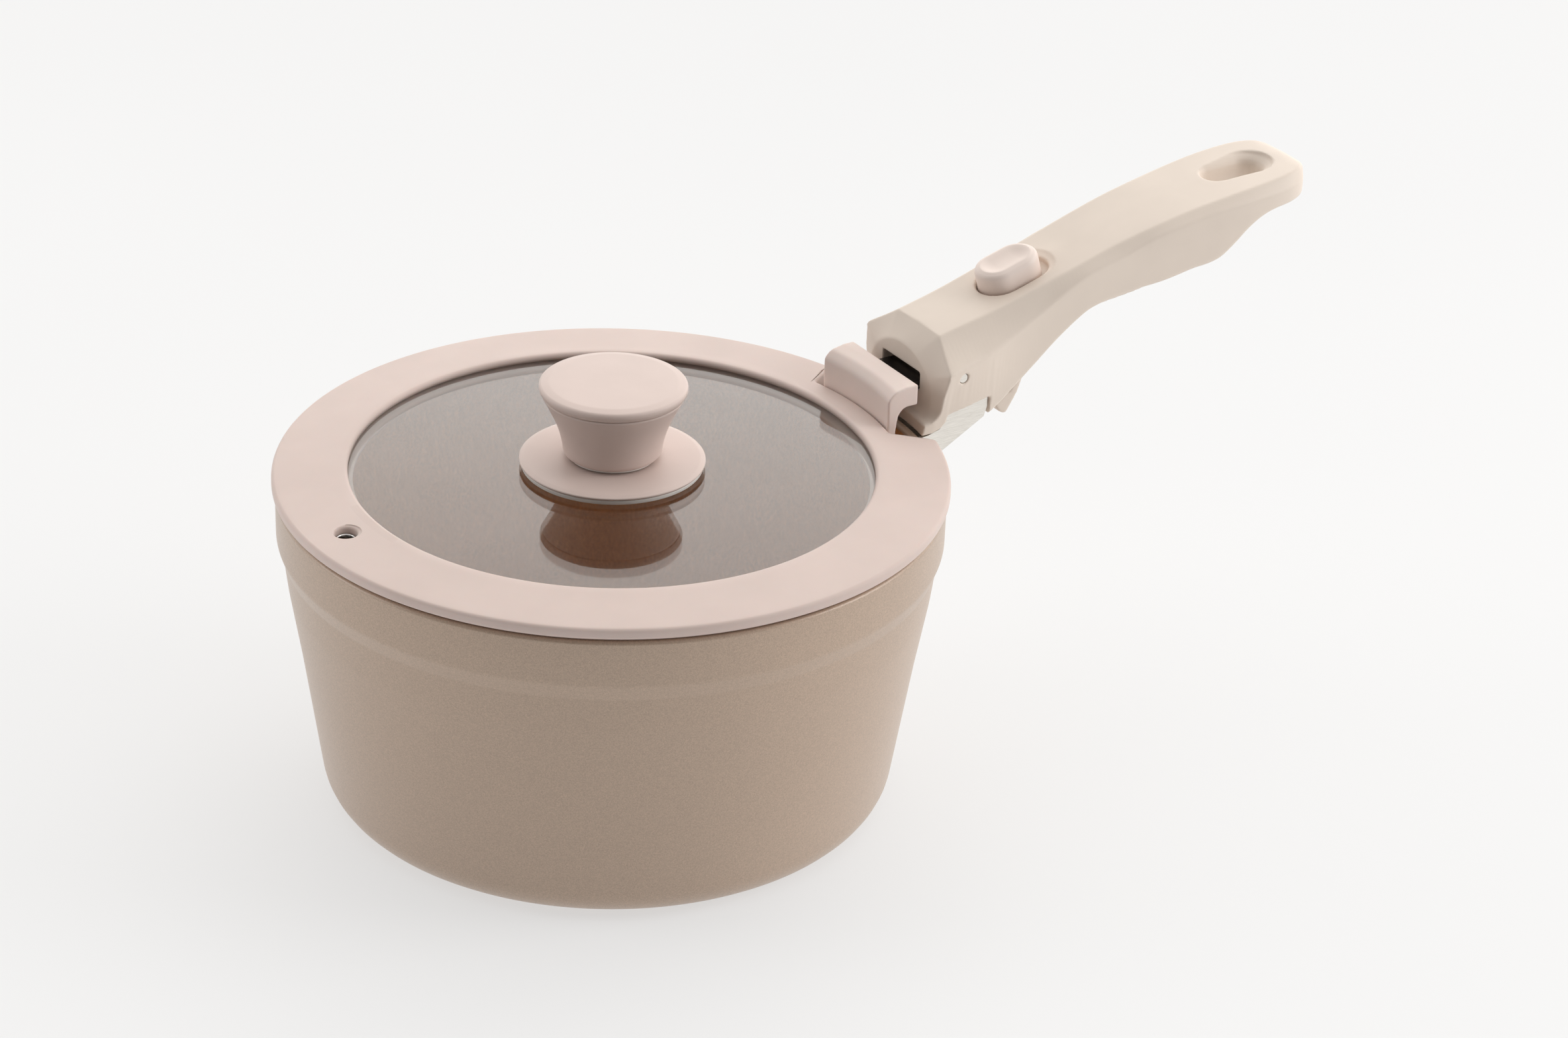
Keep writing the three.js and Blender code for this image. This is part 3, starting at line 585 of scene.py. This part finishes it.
def build_rim():
    outline = rim_outline()
    count = len(outline)
    corners = [Vector((r * math.cos(a), r * math.sin(a))) for a, r in outline]
    edge_top, edge_low = 107.1, 103.9
    lip, low_lip = OPENING_RADIUS, 78.4

    def top_at(radius):
        return edge_top + (LIP_TOP - edge_top) * (LID_RADIUS - radius) / (LID_RADIUS - lip)

    arc = [math.radians(a) for a in (90, 72, 54, 36, 18, 0)]
    edge = 1.1
    points = []
    for i, corner in enumerate(corners):
        along = (corners[(i + 1) % count] - corners[i - 1]).normalized()
        inward = Vector((-along.y, along.x))
        spoke = corner.normalized()
        reach = corner.length
        notched = reach < LID_RADIUS - 1
        base = 101.6 if notched else edge_low
        section = [(spoke * lip, glass_top(lip) + 0.02), (spoke * lip, LIP_TOP - 1.0),
                   (spoke * (lip + 0.25), LIP_TOP - 0.45), (spoke * (lip + 0.7), LIP_TOP - 0.12),
                   (spoke * (lip + 1.3), LIP_TOP)]
        inner_end = reach - 2.2
        for k in range(1, 9):
            radius = lip + 1.3 + (inner_end - lip - 1.3) * k / 8
            section.append((spoke * radius, top_at(radius)))
        for angle in arc:
            spot = corner + inward * edge * (1 - math.cos(angle))
            section.append((spot, top_at(spot.length) - edge * (1 - math.sin(angle))))
        for angle in reversed(arc):
            spot = corner + inward * edge * 0.7 * (1 - math.cos(angle))
            section.append((spot, base + edge * 0.7 * (1 - math.sin(angle))))
        seat = min(100.8, reach - 1.6)
        skirt = min(97.2, reach - 1.8)
        under = 101.0
        low = 97.6 if skirt > 97 else under
        resting = min(base, PAN_TOP + 0.3)
        section += [(spoke * seat, resting), (spoke * skirt, resting - 0.02),
                    (spoke * skirt, low), (spoke * (skirt - 1.0), low - 0.01), (spoke * (skirt - 2), low),
                    (spoke * min(95.2, skirt - 2.1), under - 0.01), (spoke * low_lip, under),
                    (spoke * low_lip, 102.5), (spoke * (GLASS_RADIUS + 0.3), 102.3),
                    (spoke * (GLASS_RADIUS + 0.3), 106.72)]
        points += [(p.x, p.y, z) for p, z in section]
    size = len(points) // count
    rings = [points[i * size:(i + 1) * size] for i in range(count)]
    rim = facing_out(make_mesh("rim_ring", points, strip(rings, True, True)))
    mouth = turned("mouth", [(0, 99), (3.5, 99), (3.5, 107.0), (3.56, 107.4), (3.75, 107.75), (4.1, 108.02),
                             (4.7, 108.2), (4.7, 111), (0, 111)], 64)
    mouth.location.x = VENT_X * MM
    combine(rim, [mouth], "DIFFERENCE")
    for polygon in rim.data.polygons:
        away = math.hypot(polygon.center.x / MM - VENT_X, polygon.center.y / MM)
        if polygon.normal.z > 0.99 and away < 16:
            polygon.use_smooth = False
    finish_piece(rim, "lid", "silicone", silicone(), "lid_rim")


def glass_top(radius):
    return GLASS_HIGH.z - GLASS_RISE * (radius / GLASS_RADIUS) ** 2


def build_glass():
    radii = [GLASS_RADIUS * k / 24 for k in range(1, 24)]
    hole = 4.5
    outside = [r for r in radii if r > hole]
    profile = [(hole, glass_top(hole) - GLASS_THICK),
               *[(r, glass_top(r) - GLASS_THICK) for r in outside],
               (GLASS_RADIUS - 0.6, glass_top(GLASS_RADIUS) - GLASS_THICK),
               (GLASS_RADIUS, glass_top(GLASS_RADIUS) - GLASS_THICK + 0.6),
               (GLASS_RADIUS, glass_top(GLASS_RADIUS) - 0.6), (GLASS_RADIUS - 0.6, glass_top(GLASS_RADIUS)),
               *[(r, glass_top(r)) for r in reversed(outside)], (hole, glass_top(hole))]
    glass = turned("glass_disc", profile, 192)
    finish_piece(glass, "lid", "lid_glass", lid_glass(), "lid_glass")


def build_eyelet(steel):
    low, high = EYELET_LOW.z, EYELET_HIGH.z - 1.1
    tube, bore = 3.2, 2.3
    eyelet = turned("vent_tube", rounded([
        (bore, low, 0.2), (3.9, low, 0.15), (3.9, low + 0.4, 0.15), (tube, low + 0.5, 0.1),
        (tube, high, 0.35), (bore + 0.1, high, 0.3),
    ], 4), 64)
    eyelet.location.x = VENT_X * MM
    finish_piece(eyelet, "lid", "bright_steel", steel, "vent_eyelet")


# ---- knob ----
def build_knob():
    pink, clear = knob_pink(), clear_silicone()
    gasket = turned("knob_seal", rounded([
        (4.5, glass_top(4.5) + 0.02, 0), (GASKET_HIGH.x, glass_top(27.5) + 0.02, 0.25),
        (GASKET_HIGH.x + 0.4, FLANGE_LOW.z - 0.02, 0.2), (4.5, FLANGE_LOW.z - 0.02, 0),
    ], 4))
    finish_piece(gasket, "lid", "clear_silicone", clear, "knob_gasket")

    low, high, rim = FLANGE_LOW.z, FLANGE_HIGH.z, FLANGE_HIGH.x
    flange = turned("knob_skirt", rounded([
        (4.5, low, 0), (rim - 0.5, low, 0.35), (rim, low + 0.55, 0.5), (rim - 0.15, low + 0.95, 0.6),
        (rim - 1.6, high - 0.25, 3), (16, high, 2), (4.5, high, 0),
    ], 6))
    finish_piece(flange, "lid", "knob_pink", pink, "knob_flange")

    spacer_low, spacer_high = box_mm("knob_spacer")
    spacer = turned("knob_ring", rounded([
        (4.5, spacer_low.z, 0), (spacer_high.x, spacer_low.z, 0.15), (spacer_high.x, spacer_high.z, 0.2),
        (4.5, spacer_high.z, 0),
    ], 4))
    finish_piece(spacer, "lid", "clear_silicone", clear, "knob_spacer")

    neck_low, seam = NECK_LOW.z, NECK_HIGH.z + 0.35
    side = spline([(neck_low, 14.5), (114.2, 15.0), (117, 15.45), (121, 16.45), (125, 17.95),
                   (128.7, 19.75), (131.5, 21.15), (seam, 21.9)])
    flare = [(side(z), z) for z in [neck_low + 0.8 + (seam - neck_low - 1.2) * k / 26 for k in range(27)]]
    neck = turned("knob_neck", [
        (5.3, neck_low), (13.6, neck_low), (14.1, neck_low + 0.08), (14.45, neck_low + 0.35), *flare,
        (21.55, seam - 0.12), (21.2, seam), (8, seam), (8, 127.5), (5.3, 127.5),
    ])
    finish_piece(neck, "lid", "knob_pink", pink, "knob_body")

    low, high, wide = CAP_LOW.z + 0.25, CAP_HIGH.z, CAP_HIGH.x
    cap = turned("knob_top", rounded([
        (0, low, 0), (21.9, low, 0.4), (wide, low + 1.3, 2.4), (wide - 0.3, high - 0.95, 2.4),
        (19.5, high - 0.35, 6), (10, high - 0.08, 20), (0, high, 0),
    ], 9))
    finish_piece(cap, "lid", "knob_pink", pink, "knob_cap")


# ---- handle housing ----
TOP = spline([(105, 130.4), (113, 132.3), (128, 135.8), (143.4, 140.2), (163.6, 146.2), (173.8, 149.4),
              (184, 152.2), (194.3, 154.6), (204.7, 156.7), (215.2, 158.4), (225.7, 159.9),
              (236.4, 161.1), (245, 161.9), (250, 162.1), (252.6, 161.4), (254, 160.0), (254.5, 158.6)])
TOP_HALF = spline([(105, 11.5), (120, 11.9), (128, 12.3), (140, 12.8), (155, 13.2), (168, 13.4),
                   (180, 13.9), (193, 14.5), (205, 14.9), (217.5, 15.7), (229, 16.2), (237, 16.0),
                   (243, 15.3), (247, 14.1), (250.5, 12.0), (253, 8.6), (254.5, 2.8)])
CREASE = spline([(105, 122.2), (108.6, 123.5), (116, 124.7), (123.5, 126.1), (134.5, 129.8),
                 (146, 134.6), (156.5, 140.2), (164.5, 143.8), (177.3, 147.2), (190, 151.2),
                 (203, 153.8), (213.6, 155.5), (222.4, 156.4), (231, 157.0), (238, 157.5), (246, 158.0),
                 (251, 157.8), (254.5, 157.2)])
CREASE_HALF = spline([(105, 24.3), (108.6, 23.6), (116, 22.3), (123.5, 21), (134.5, 19), (146, 17.6),
                      (155, 17.1), (165, 17), (185, 17.4), (205, 18.3), (220, 19), (232, 19),
                      (239, 18.4), (244, 17.2), (248.5, 14.9), (252, 11.2), (254, 6.6), (254.5, 3.4)])
SIDE_HALF = spline([(105, 18.9), (126, 18.8), (145, 17.5), (165, 17), (185, 17.4), (205, 18.3),
                    (220, 19), (232, 19), (239, 18.4), (244, 17.2), (248.5, 14.9), (252, 11.2),
                    (254, 6.6), (254.5, 3.4)])
BOTTOM = spline([(105, 102.2), (108, 103.1), (112, 103.5), (124, 103.5), (128.5, 105.4), (136, 110.6),
                 (143.8, 116.3), (153.5, 123.8), (163.3, 130.1), (168, 131.8), (173.4, 132.8),
                 (183.7, 134.2), (194.1, 135.2), (204.5, 137.2), (211, 138), (215, 139.3), (220, 142.9),
                 (225, 147.1), (230, 150.1), (235.1, 151.7), (243, 152.3), (254.5, 152.7)])


def housing_section(x, wall=0.0):
    """The skin's outline across the handle at x, or the hollow's, one wall inside it."""
    top, top_half = TOP(x) - wall * 1.08, max(TOP_HALF(x) - wall * 0.6, 0.8)
    crease, half = CREASE(x) - wall * 0.75, max(SIDE_HALF(x) - wall, 1.2)
    wide = half if wall else CREASE_HALF(x)
    bottom = BOTTOM(x)
    if wall:
        bottom = bottom - 8 if x < LEVER_ROOM_END else bottom + wall
    crown = 0.25 if not wall else 0.0
    corners = [(-top_half, top, 1.6), (0, top + crown, 0), (top_half, top, 1.6), (wide, crease, 1.5),
               (half, bottom, 1.3), (-half, bottom, 1.3), (-wide, crease, 1.5)]
    return [(x, y, z) for y, z in rounded(corners, 4)]


def lofted(name, stations, wall=0.0):
    return stacked(name, [housing_section(x, wall) for x in stations])


# Where the chamfer round the front face ends, as (half width, height, distance out) corners.
FRONT_EDGE = [(0, 131.9, 110.9), (11.8, 131.9, 110.9), (23.8, 123.4, 107.6), (21.3, 115.5, 106.2),
              (19.2, 108.0, 106.4), (19.2, 102.0, 106.4), (0, 94, 105)]
ARCH_RADIUS, ARCH_HEIGHT, ARCH_WIDEN = 13.3, 113.0, 1.28


def chamfer_depth(y, z):
    """The arched front face at x = 105 and the chamfer that runs from it to the housing's edges."""
    y, rise = abs(y), z - ARCH_HEIGHT
    ring = math.hypot(y / ARCH_WIDEN, rise)
    if ring <= ARCH_RADIUS:
        return 105.0
    for (y0, z0, x0), (y1, z1, x1) in zip(FRONT_EDGE, FRONT_EDGE[1:]):
        z0, z1 = z0 - ARCH_HEIGHT, z1 - ARCH_HEIGHT
        turn = y * (z1 - z0) - rise * (y1 - y0)
        if abs(turn) < 1e-9:
            continue
        reach = (y0 * (z1 - z0) - z0 * (y1 - y0)) / turn
        along_y, along_z = y * reach, rise * reach
        length = (y1 - y0) ** 2 + (z1 - z0) ** 2
        t = ((along_y - y0) * (y1 - y0) + (along_z - z0) * (z1 - z0)) / length
        if reach > 0 and -1e-6 <= t <= 1 + 1e-6:
            edge = ring * reach
            share = (ring - ARCH_RADIUS) / max(edge - ARCH_RADIUS, 1)
            return 105 + (x0 + (x1 - x0) * t - 105) * min(share, 1.6)
    return 105.0


def front_depth(y, z):
    """How far out the housing's front face lies; below, it is scooped out to a foot that hugs the pan."""
    face = chamfer_depth(y, z)
    foot = math.sqrt(max(CLEAR_RADIUS ** 2 - y * y, 0))
    foot_top, scoop_top = 106.6, 111.5
    if z < foot_top:
        lift = max(0.0, z - foot_top + 0.8) / 0.8
        return foot + 0.5 * (1 - math.sqrt(max(0.0, 1 - lift * lift)))
    if z < scoop_top:
        t = (scoop_top - z) / (scoop_top - foot_top)
        return face + (foot + 0.5 - face) * (1 - math.sqrt(max(0.0, 1 - t * t)))
    return face


def front_cutter(inward=0.0):
    """Everything in front of the housing's front face, or of a surface a little inside it."""
    ys = [-27 + 0.5 * k for k in range(109)]
    zs = [96 + 48 * k / 110 for k in range(111)]
    points = [(front_depth(y, z) + inward, y, z) for z in zs for y in ys]
    points += [(94, y, z) for z in zs for y in ys]
    wide, tall = len(ys), len(zs)
    back = wide * tall
    faces = []
    for j in range(tall - 1):
        for i in range(wide - 1):
            a = j * wide + i
            faces.append((a, a + 1, a + wide + 1, a + wide))
            faces.append((back + a, back + a + wide, back + a + wide + 1, back + a + 1))
    for i in range(wide - 1):
        for a in (i, (tall - 1) * wide + i):
            faces.append((a, a + 1, back + a + 1, back + a))
    for j in range(tall - 1):
        for a in (j * wide, j * wide + wide - 1):
            faces.append((a, a + wide, back + a + wide, back + a))
    return facing_out(make_mesh("front_cutter", points, faces))


def flared_hole(x, length, width):
    """The hanging hole, with a rolled lip at each face."""
    top, low = TOP(x) + 0.3, BOTTOM(x) - 0.2
    levels = [(-3.4, top + 4), (-3.4, top + 0.4), (-2.1, top - 0.35), (-1.0, top - 1.2),
              (-0.3, top - 2.4), (0, top - 4), (0, low + 3.4), (-0.4, low + 1.9), (-1.3, low + 0.7),
              (-2.6, low), (-2.6, low - 6)]
    return stacked("hole", [[(px, py, z) for px, py in stadium(x, length, width, inset, 20)]
                            for inset, z in levels])


def well_cutter(start, end, width, depth):
    centre, length = (start + end) / 2, end - start
    levels = [(-0.6, 6), (-0.6, 0.5), (-0.45, 0.2), (-0.15, -0.1), (0, -0.5), (0, -depth)]
    return stacked("well", [[off_slope(s, y, n) for s, y in stadium(centre, length, width, inset)]
                            for inset, n in levels])


def dished_lead_in():
    """A shallow dish round the rear half of the button's well, which fades out towards the front."""
    rings = []
    for k in range(15):
        t = k / 14
        outline = stadium(7.2, 21, 18.8, 3.2 * t)
        drop = 0.8 * (1 - (1 - t) ** 2)
        rings.append([off_slope(s, y, 0.5 - drop + 0.06 * max(0.0, 15 - s)) for s, y in outline])
    lifted = [off_slope(s, y, 6) for s, y in stadium(7.2, 21, 18.8)]
    return stacked("dish", [lifted] + rings)


def build_housing(cream):
    stations = [99 + 1.5 * k for k in range(96)] + [243 + k for k in range(9)]
    stations += [251.6, 252.2, 252.8, 253.3, 253.7, 254.1, 254.35, 254.5]
    skin = lofted("handle_shell", stations)
    hollow = lofted("hollow", [107.8 + 1.6 * k for k in range(57)] + [LEVER_ROOM_END - 0.1], WALL)
    combine(hollow, [front_cutter(3.3)], "DIFFERENCE")
    hollow_rear = lofted("hollow_rear", [LEVER_ROOM_END, 202, 205, 208, 211], WALL)
    bracket_room = crosswise("bracket_room", rounded([
        (90, 70, 0), (90, 101.7, 0), (104, 102.0, 3), (108.0, 103.2, 3), (109.9, 106, 1.5),
        (109.9, 108.1, 0.2), (126.3, 110.8, 0.6), (126.3, 70, 0)], 5), -26, 26)
    half = SLIDER_HALF + 0.3
    slot = block("slot", (90, -half, 114.0), (112, half, 120.1))
    pin_x, pin_z = (GUIDE_LOW.x + GUIDE_HIGH.x) / 2, (GUIDE_LOW.z + GUIDE_HIGH.z) / 2
    pivot_x, pivot_z = (LEVER_PIN_LOW.x + LEVER_PIN_HIGH.x) / 2, (LEVER_PIN_LOW.z + LEVER_PIN_HIGH.z) / 2
    well = well_cutter(-9.8, 15.2, 15.8, 2.5)
    cutters = [hollow, hollow_rear, front_cutter(), bracket_room, slot, flared_hole(231.3, 22, 10),
               dished_lead_in()]
    combine(skin, cutters, "DIFFERENCE")
    floor = crosswise("well_floor", [tuple(off_slope(s, 0, n).xz) for s, n in
                                     ((-11.3, -4), (18.3, -4), (18.3, -1.2), (-11.3, -1.2))], -9.5, 9.5)
    bosses = [cross_rod(f"boss{side}", pivot_x, pivot_z, 4.2, *sorted((13.9 * side, 16 * side)))
              for side in (-1, 1)]
    combine(skin, [floor, *bosses], "UNION")
    pin_holes = [cross_rod("guide_hole", pin_x, pin_z, 1.75, -25, 25),
                 cross_rod("pivot_hole", pivot_x, pivot_z, 2.2, -16.4, 16.4)]
    combine(skin, [well, *pin_holes], "DIFFERENCE")
    moulded(skin, 0.42, 4)
    finish_piece(skin, "handle", "handle_cream", cream, "handle_housing")


# ---- squeeze lever ----
def build_lever(cream):
    below = [(183.7, 131.8, 10), (173.4, 130.7, 10), (163.3, 129.2, 8), (153.5, 123.6, 10),
             (146.5, 116.5, 5), (143, 112.2, 4), (140.4, 105, 1.5)]
    cheek = rounded([(131.8, 104.8, 1), (131.8, 108.5, 1), (123.4, 115.4, 1), (122.6, 118, 1),
                     (122.9, 120.6, 1), (124, 121.6, 1), (129, 121.6, 1), (139, 116.8, 2),
                     (147, 121.5, 3), (155, 128.6, 3), (165, 135.5, 4), (176, 139.5, 4),
                     (186, 143.3, 3), (190, 143.8, 3), (195, 141.5, 3), (198, 138.2, 1.5),
                     (197, 135.8, 1.5), (194, 133.4, 3), *below, (136.7, 99.7, 1.2), (134.1, 101.2, 1.2)])
    web = rounded([*reversed(below), (194, 133.4, 3), (197, 135.8, 0.8), (194.5, 136.2, 0.8),
                   (183, 134.6, 6), (172.6, 133.7, 6), (162.3, 132.2, 4), (152, 126.2, 4),
                   (144.6, 118.6, 4), (140.6, 113.6, 3), (138, 107, 0.8)])
    nose = rounded([(131.8, 104.8, 1), (132.3, 107.2, 0.8), (139.9, 107.2, 0.6), (140.3, 105.4, 1),
                    (136.7, 99.7, 1.2), (134.1, 101.2, 1.2)])
    lever = crosswise("lever_body", web, -13.5, 13.5)
    parts = [crosswise("cheek_far", cheek, 10.3, 12.3), crosswise("cheek_near", cheek, -12.3, -10.3),
             crosswise("nose", nose, -13.5, 13.5)]
    combine(lever, parts, "UNION")
    slot = crosswise("pin_slot", [(124, 120.5), (124.2, 117), (133.9, 110.5), (137, 113.2), (127, 120.5)],
                     -20, 20)
    combine(lever, [slot, cross_rod("bore", 188.5, 139.5, 2.3, -20, 20)], "DIFFERENCE")
    moulded(lever, 0.4, 4)
    finish_piece(lever, "lever", "handle_cream", cream, "squeeze_lever")


# ---- jaw pad ----
def build_jaw(pink):
    front, rear, top = PAD_LOW.x, PAD_HIGH.x, PAD_HIGH.z
    half = PAD_HIGH.y - 0.2
    bend = 90.0
    section = rounded([(bend, 98.2, 1), (91.2, 97.3, 0.8), (92.3, 98.2, 0.8), (93.3, 108, 4),
                       (93.9, 111.5, 3), (95.7, 113.5, 2), (97.7, 113.7, 1), (104, 113.7, 0),
                       (104, top, 0), (97, top, 3), (92.6, 119.6, 3), (bend, 117.2, 3)], 6)
    pad = turned("pad", section, 720)
    keep = block("keep", (front - 5, -half, 80), (rear, half, 140))
    combine(pad, [keep], "INTERSECT")
    pocket = block("pocket", (91.4, -15.8, 114.0), (110, 15.8, 117.1))
    combine(pad, [pocket], "DIFFERENCE")
    moulded(pad, 0.34, 12)
    pad.name = "jaw_cushion"
    finish_piece(pad, "jaw", "silicone", pink, "jaw_pad")


# ---- release button ----
def build_button(pink):
    centre, length, width = 1.5, 21.6, 14.8
    top = 7.3
    levels = [(0.5, -2.2), (0.1, -2.0), (0, -1.7), (0, 4.8)]
    levels += [(1.7 * (1 - math.cos(a)), 4.8 + 1.9 * math.sin(a))
               for a in (math.radians(k * 10) for k in range(1, 9))]
    levels += [(1.9, top - 0.28), (2.3, top - 0.3), (2.9, top - 0.42), (3.8, top - 0.72), (4.9, top - 1.05),
               (6.0, top - 1.25), (6.9, top - 1.32)]
    cap = stacked("button_cap", [[off_slope(s, y, n) for s, y in stadium(centre, length, width, inset, 20)]
                                 for inset, n in levels])
    tines = []
    for k, start in enumerate((PAWL_FINGER + 1.65, PAWL_FINGER - 3.05)):
        side = ((start, -7), (start + TINE, -7), (start + TINE, -1.8), (start, -1.8))
        tines.append(crosswise(f"tine{k}", [tuple(off_slope(s, 0, n).xz) for s, n in side], -3.4, 3.4))
    combine(cap, tines, "UNION")
    finish_piece(cap, "button", "button_pink", pink, "release_button")


# ---- CAD nodes that stay ----
KEPT = {
    "satin_steel": [("steel_bracket", 0.7), ("guide_pin", 0.25), ("lever_pivot_pin", 0.25),
                    ("pawl_pivot_pin", 0.2), ("cross_pin", 0.2), ("latch_pawl", 0.25)],
    "bright_steel": [("bracket_screw_near", 0.2), ("bracket_screw_far", 0.2), ("knob_screw", 0.2),
                     ("knob_insert", 0.2), ("screw_washer", 0.15), ("slider_spring", 0),
                     ("button_spring", 0)],
    "black_coat": [("slider_hook", 0.4)],
    "clear_silicone": [("seal_washer", 0.15)],
}


def dress_kept_nodes(materials):
    """The plain steel pieces keep their CAD shape, with softened edges and real materials."""
    for slot, members in KEPT.items():
        for name, edge in members:
            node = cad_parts[name]
            for material_slot in node.material_slots:
                material_slot.material = materials[slot]
            if edge:
                bevel = node.modifiers.new("edges", "BEVEL")
                bevel.width = edge * MM
                bevel.segments = 3
                bevel.limit_method = "ANGLE"
                bevel.angle_limit = math.radians(40)


# ---- studio ----
def build_studio():
    floor = make_mesh("floor", [(-6000, -6000, 0), (6000, -6000, 0), (6000, 6000, 0), (-6000, 6000, 0)],
                      [(0, 1, 2, 3)], False)
    n = Nodes("floor_pale")
    n.color(n.ramp(n.noise(3, 1), [(0.3, (0.33, 0.33, 0.33)), (0.7, (0.34, 0.34, 0.34))]))
    n.set(Roughness=0.9, Specular_IOR_Level=0.05, Emission_Color=(1, 1, 1, 1), Emission_Strength=0.565)
    floor.data.materials.append(n.material)

    world = bpy.data.worlds.new("studio")
    bpy.context.scene.world = world
    world.use_nodes = True
    tree = world.node_tree
    direction = tree.nodes.new("ShaderNodeTexCoord").outputs["Generated"]
    toward = tree.nodes.new("ShaderNodeVectorMath")
    toward.operation = "DOT_PRODUCT"
    toward.inputs[1].default_value = (0.689, 0.602, 0.408)
    tree.links.new(direction, toward.inputs[0])
    share = tree.nodes.new("ShaderNodeMapRange")
    share.inputs["From Min"].default_value = -1
    tree.links.new(toward.outputs["Value"], share.inputs["Value"])
    ramp = tree.nodes.new("ShaderNodeValToRGB")
    stops = [(0.0, 0.04), (0.25, 0.08), (0.44, 0.4), (0.62, 0.9), (0.85, 1.05), (0.94, 1.75), (1.0, 1.9)]
    while len(ramp.color_ramp.elements) < len(stops):
        ramp.color_ramp.elements.new(0.5)
    for element, (position, level) in zip(ramp.color_ramp.elements, stops):
        element.position = position
        element.color = (level / 1.9, level / 1.9 * 0.982, level / 1.9 * 0.955, 1)
    tree.links.new(share.outputs["Result"], ramp.inputs["Fac"])
    background = tree.nodes["Background"]
    background.inputs["Strength"].default_value = 1.9
    tree.links.new(ramp.outputs["Color"], background.inputs["Color"])

    soft_light("top_soft", (0.25, 0.3, 1.5), 1.4, 1.2)
    soft_light("right_soft", (1.25, -0.8, 0.75), 0.9, 8.0)
    soft_light("left_soft", (-1.25, 0.85, 0.6), 0.9, 4.5)


def soft_light(name, place, size, power):
    data = bpy.data.lights.new(name, "AREA")
    data.shape = "DISK"
    data.size = size
    data.energy = power
    lamp = bpy.data.objects.new(name, data)
    bpy.context.scene.collection.objects.link(lamp)
    lamp.location = place
    lamp.rotation_euler = (Vector((0.05, 0, 0.07)) - Vector(place)).to_track_quat("-Z", "Y").to_euler()


CAMERA_PLACE = Vector((-0.6498, -1.0814, 0.7333))
CAMERA_AIM = Vector((0.4906, 0.7442, -0.4534))
CAMERA_ROLL = 0.0357
LENS = 106.42


def build_camera():
    data = bpy.data.cameras.new("camera")
    data.lens = LENS
    data.sensor_width = 36
    camera = bpy.data.objects.new("camera", data)
    bpy.context.scene.collection.objects.link(camera)
    look = CAMERA_AIM.to_track_quat("-Z", "Y").to_matrix().to_4x4()
    camera.matrix_world = Matrix.Translation(CAMERA_PLACE) @ look @ Matrix.Rotation(CAMERA_ROLL, 4, "Z")
    bpy.context.scene.camera = camera


bpy.context.scene.view_settings.view_transform = "Standard"
build_camera()
build_studio()
build_pan()
build_rim()
build_glass()
steels = {"satin_steel": satin_steel(), "bright_steel": bright_steel(), "black_coat": black_coat(),
          "clear_silicone": clear_silicone()}
build_eyelet(steels["bright_steel"])
build_knob()
cream_plastic = handle_cream()
build_housing(cream_plastic)
build_lever(cream_plastic)
build_jaw(jaw_silicone())
build_button(button_pink())
dress_kept_nodes(steels)
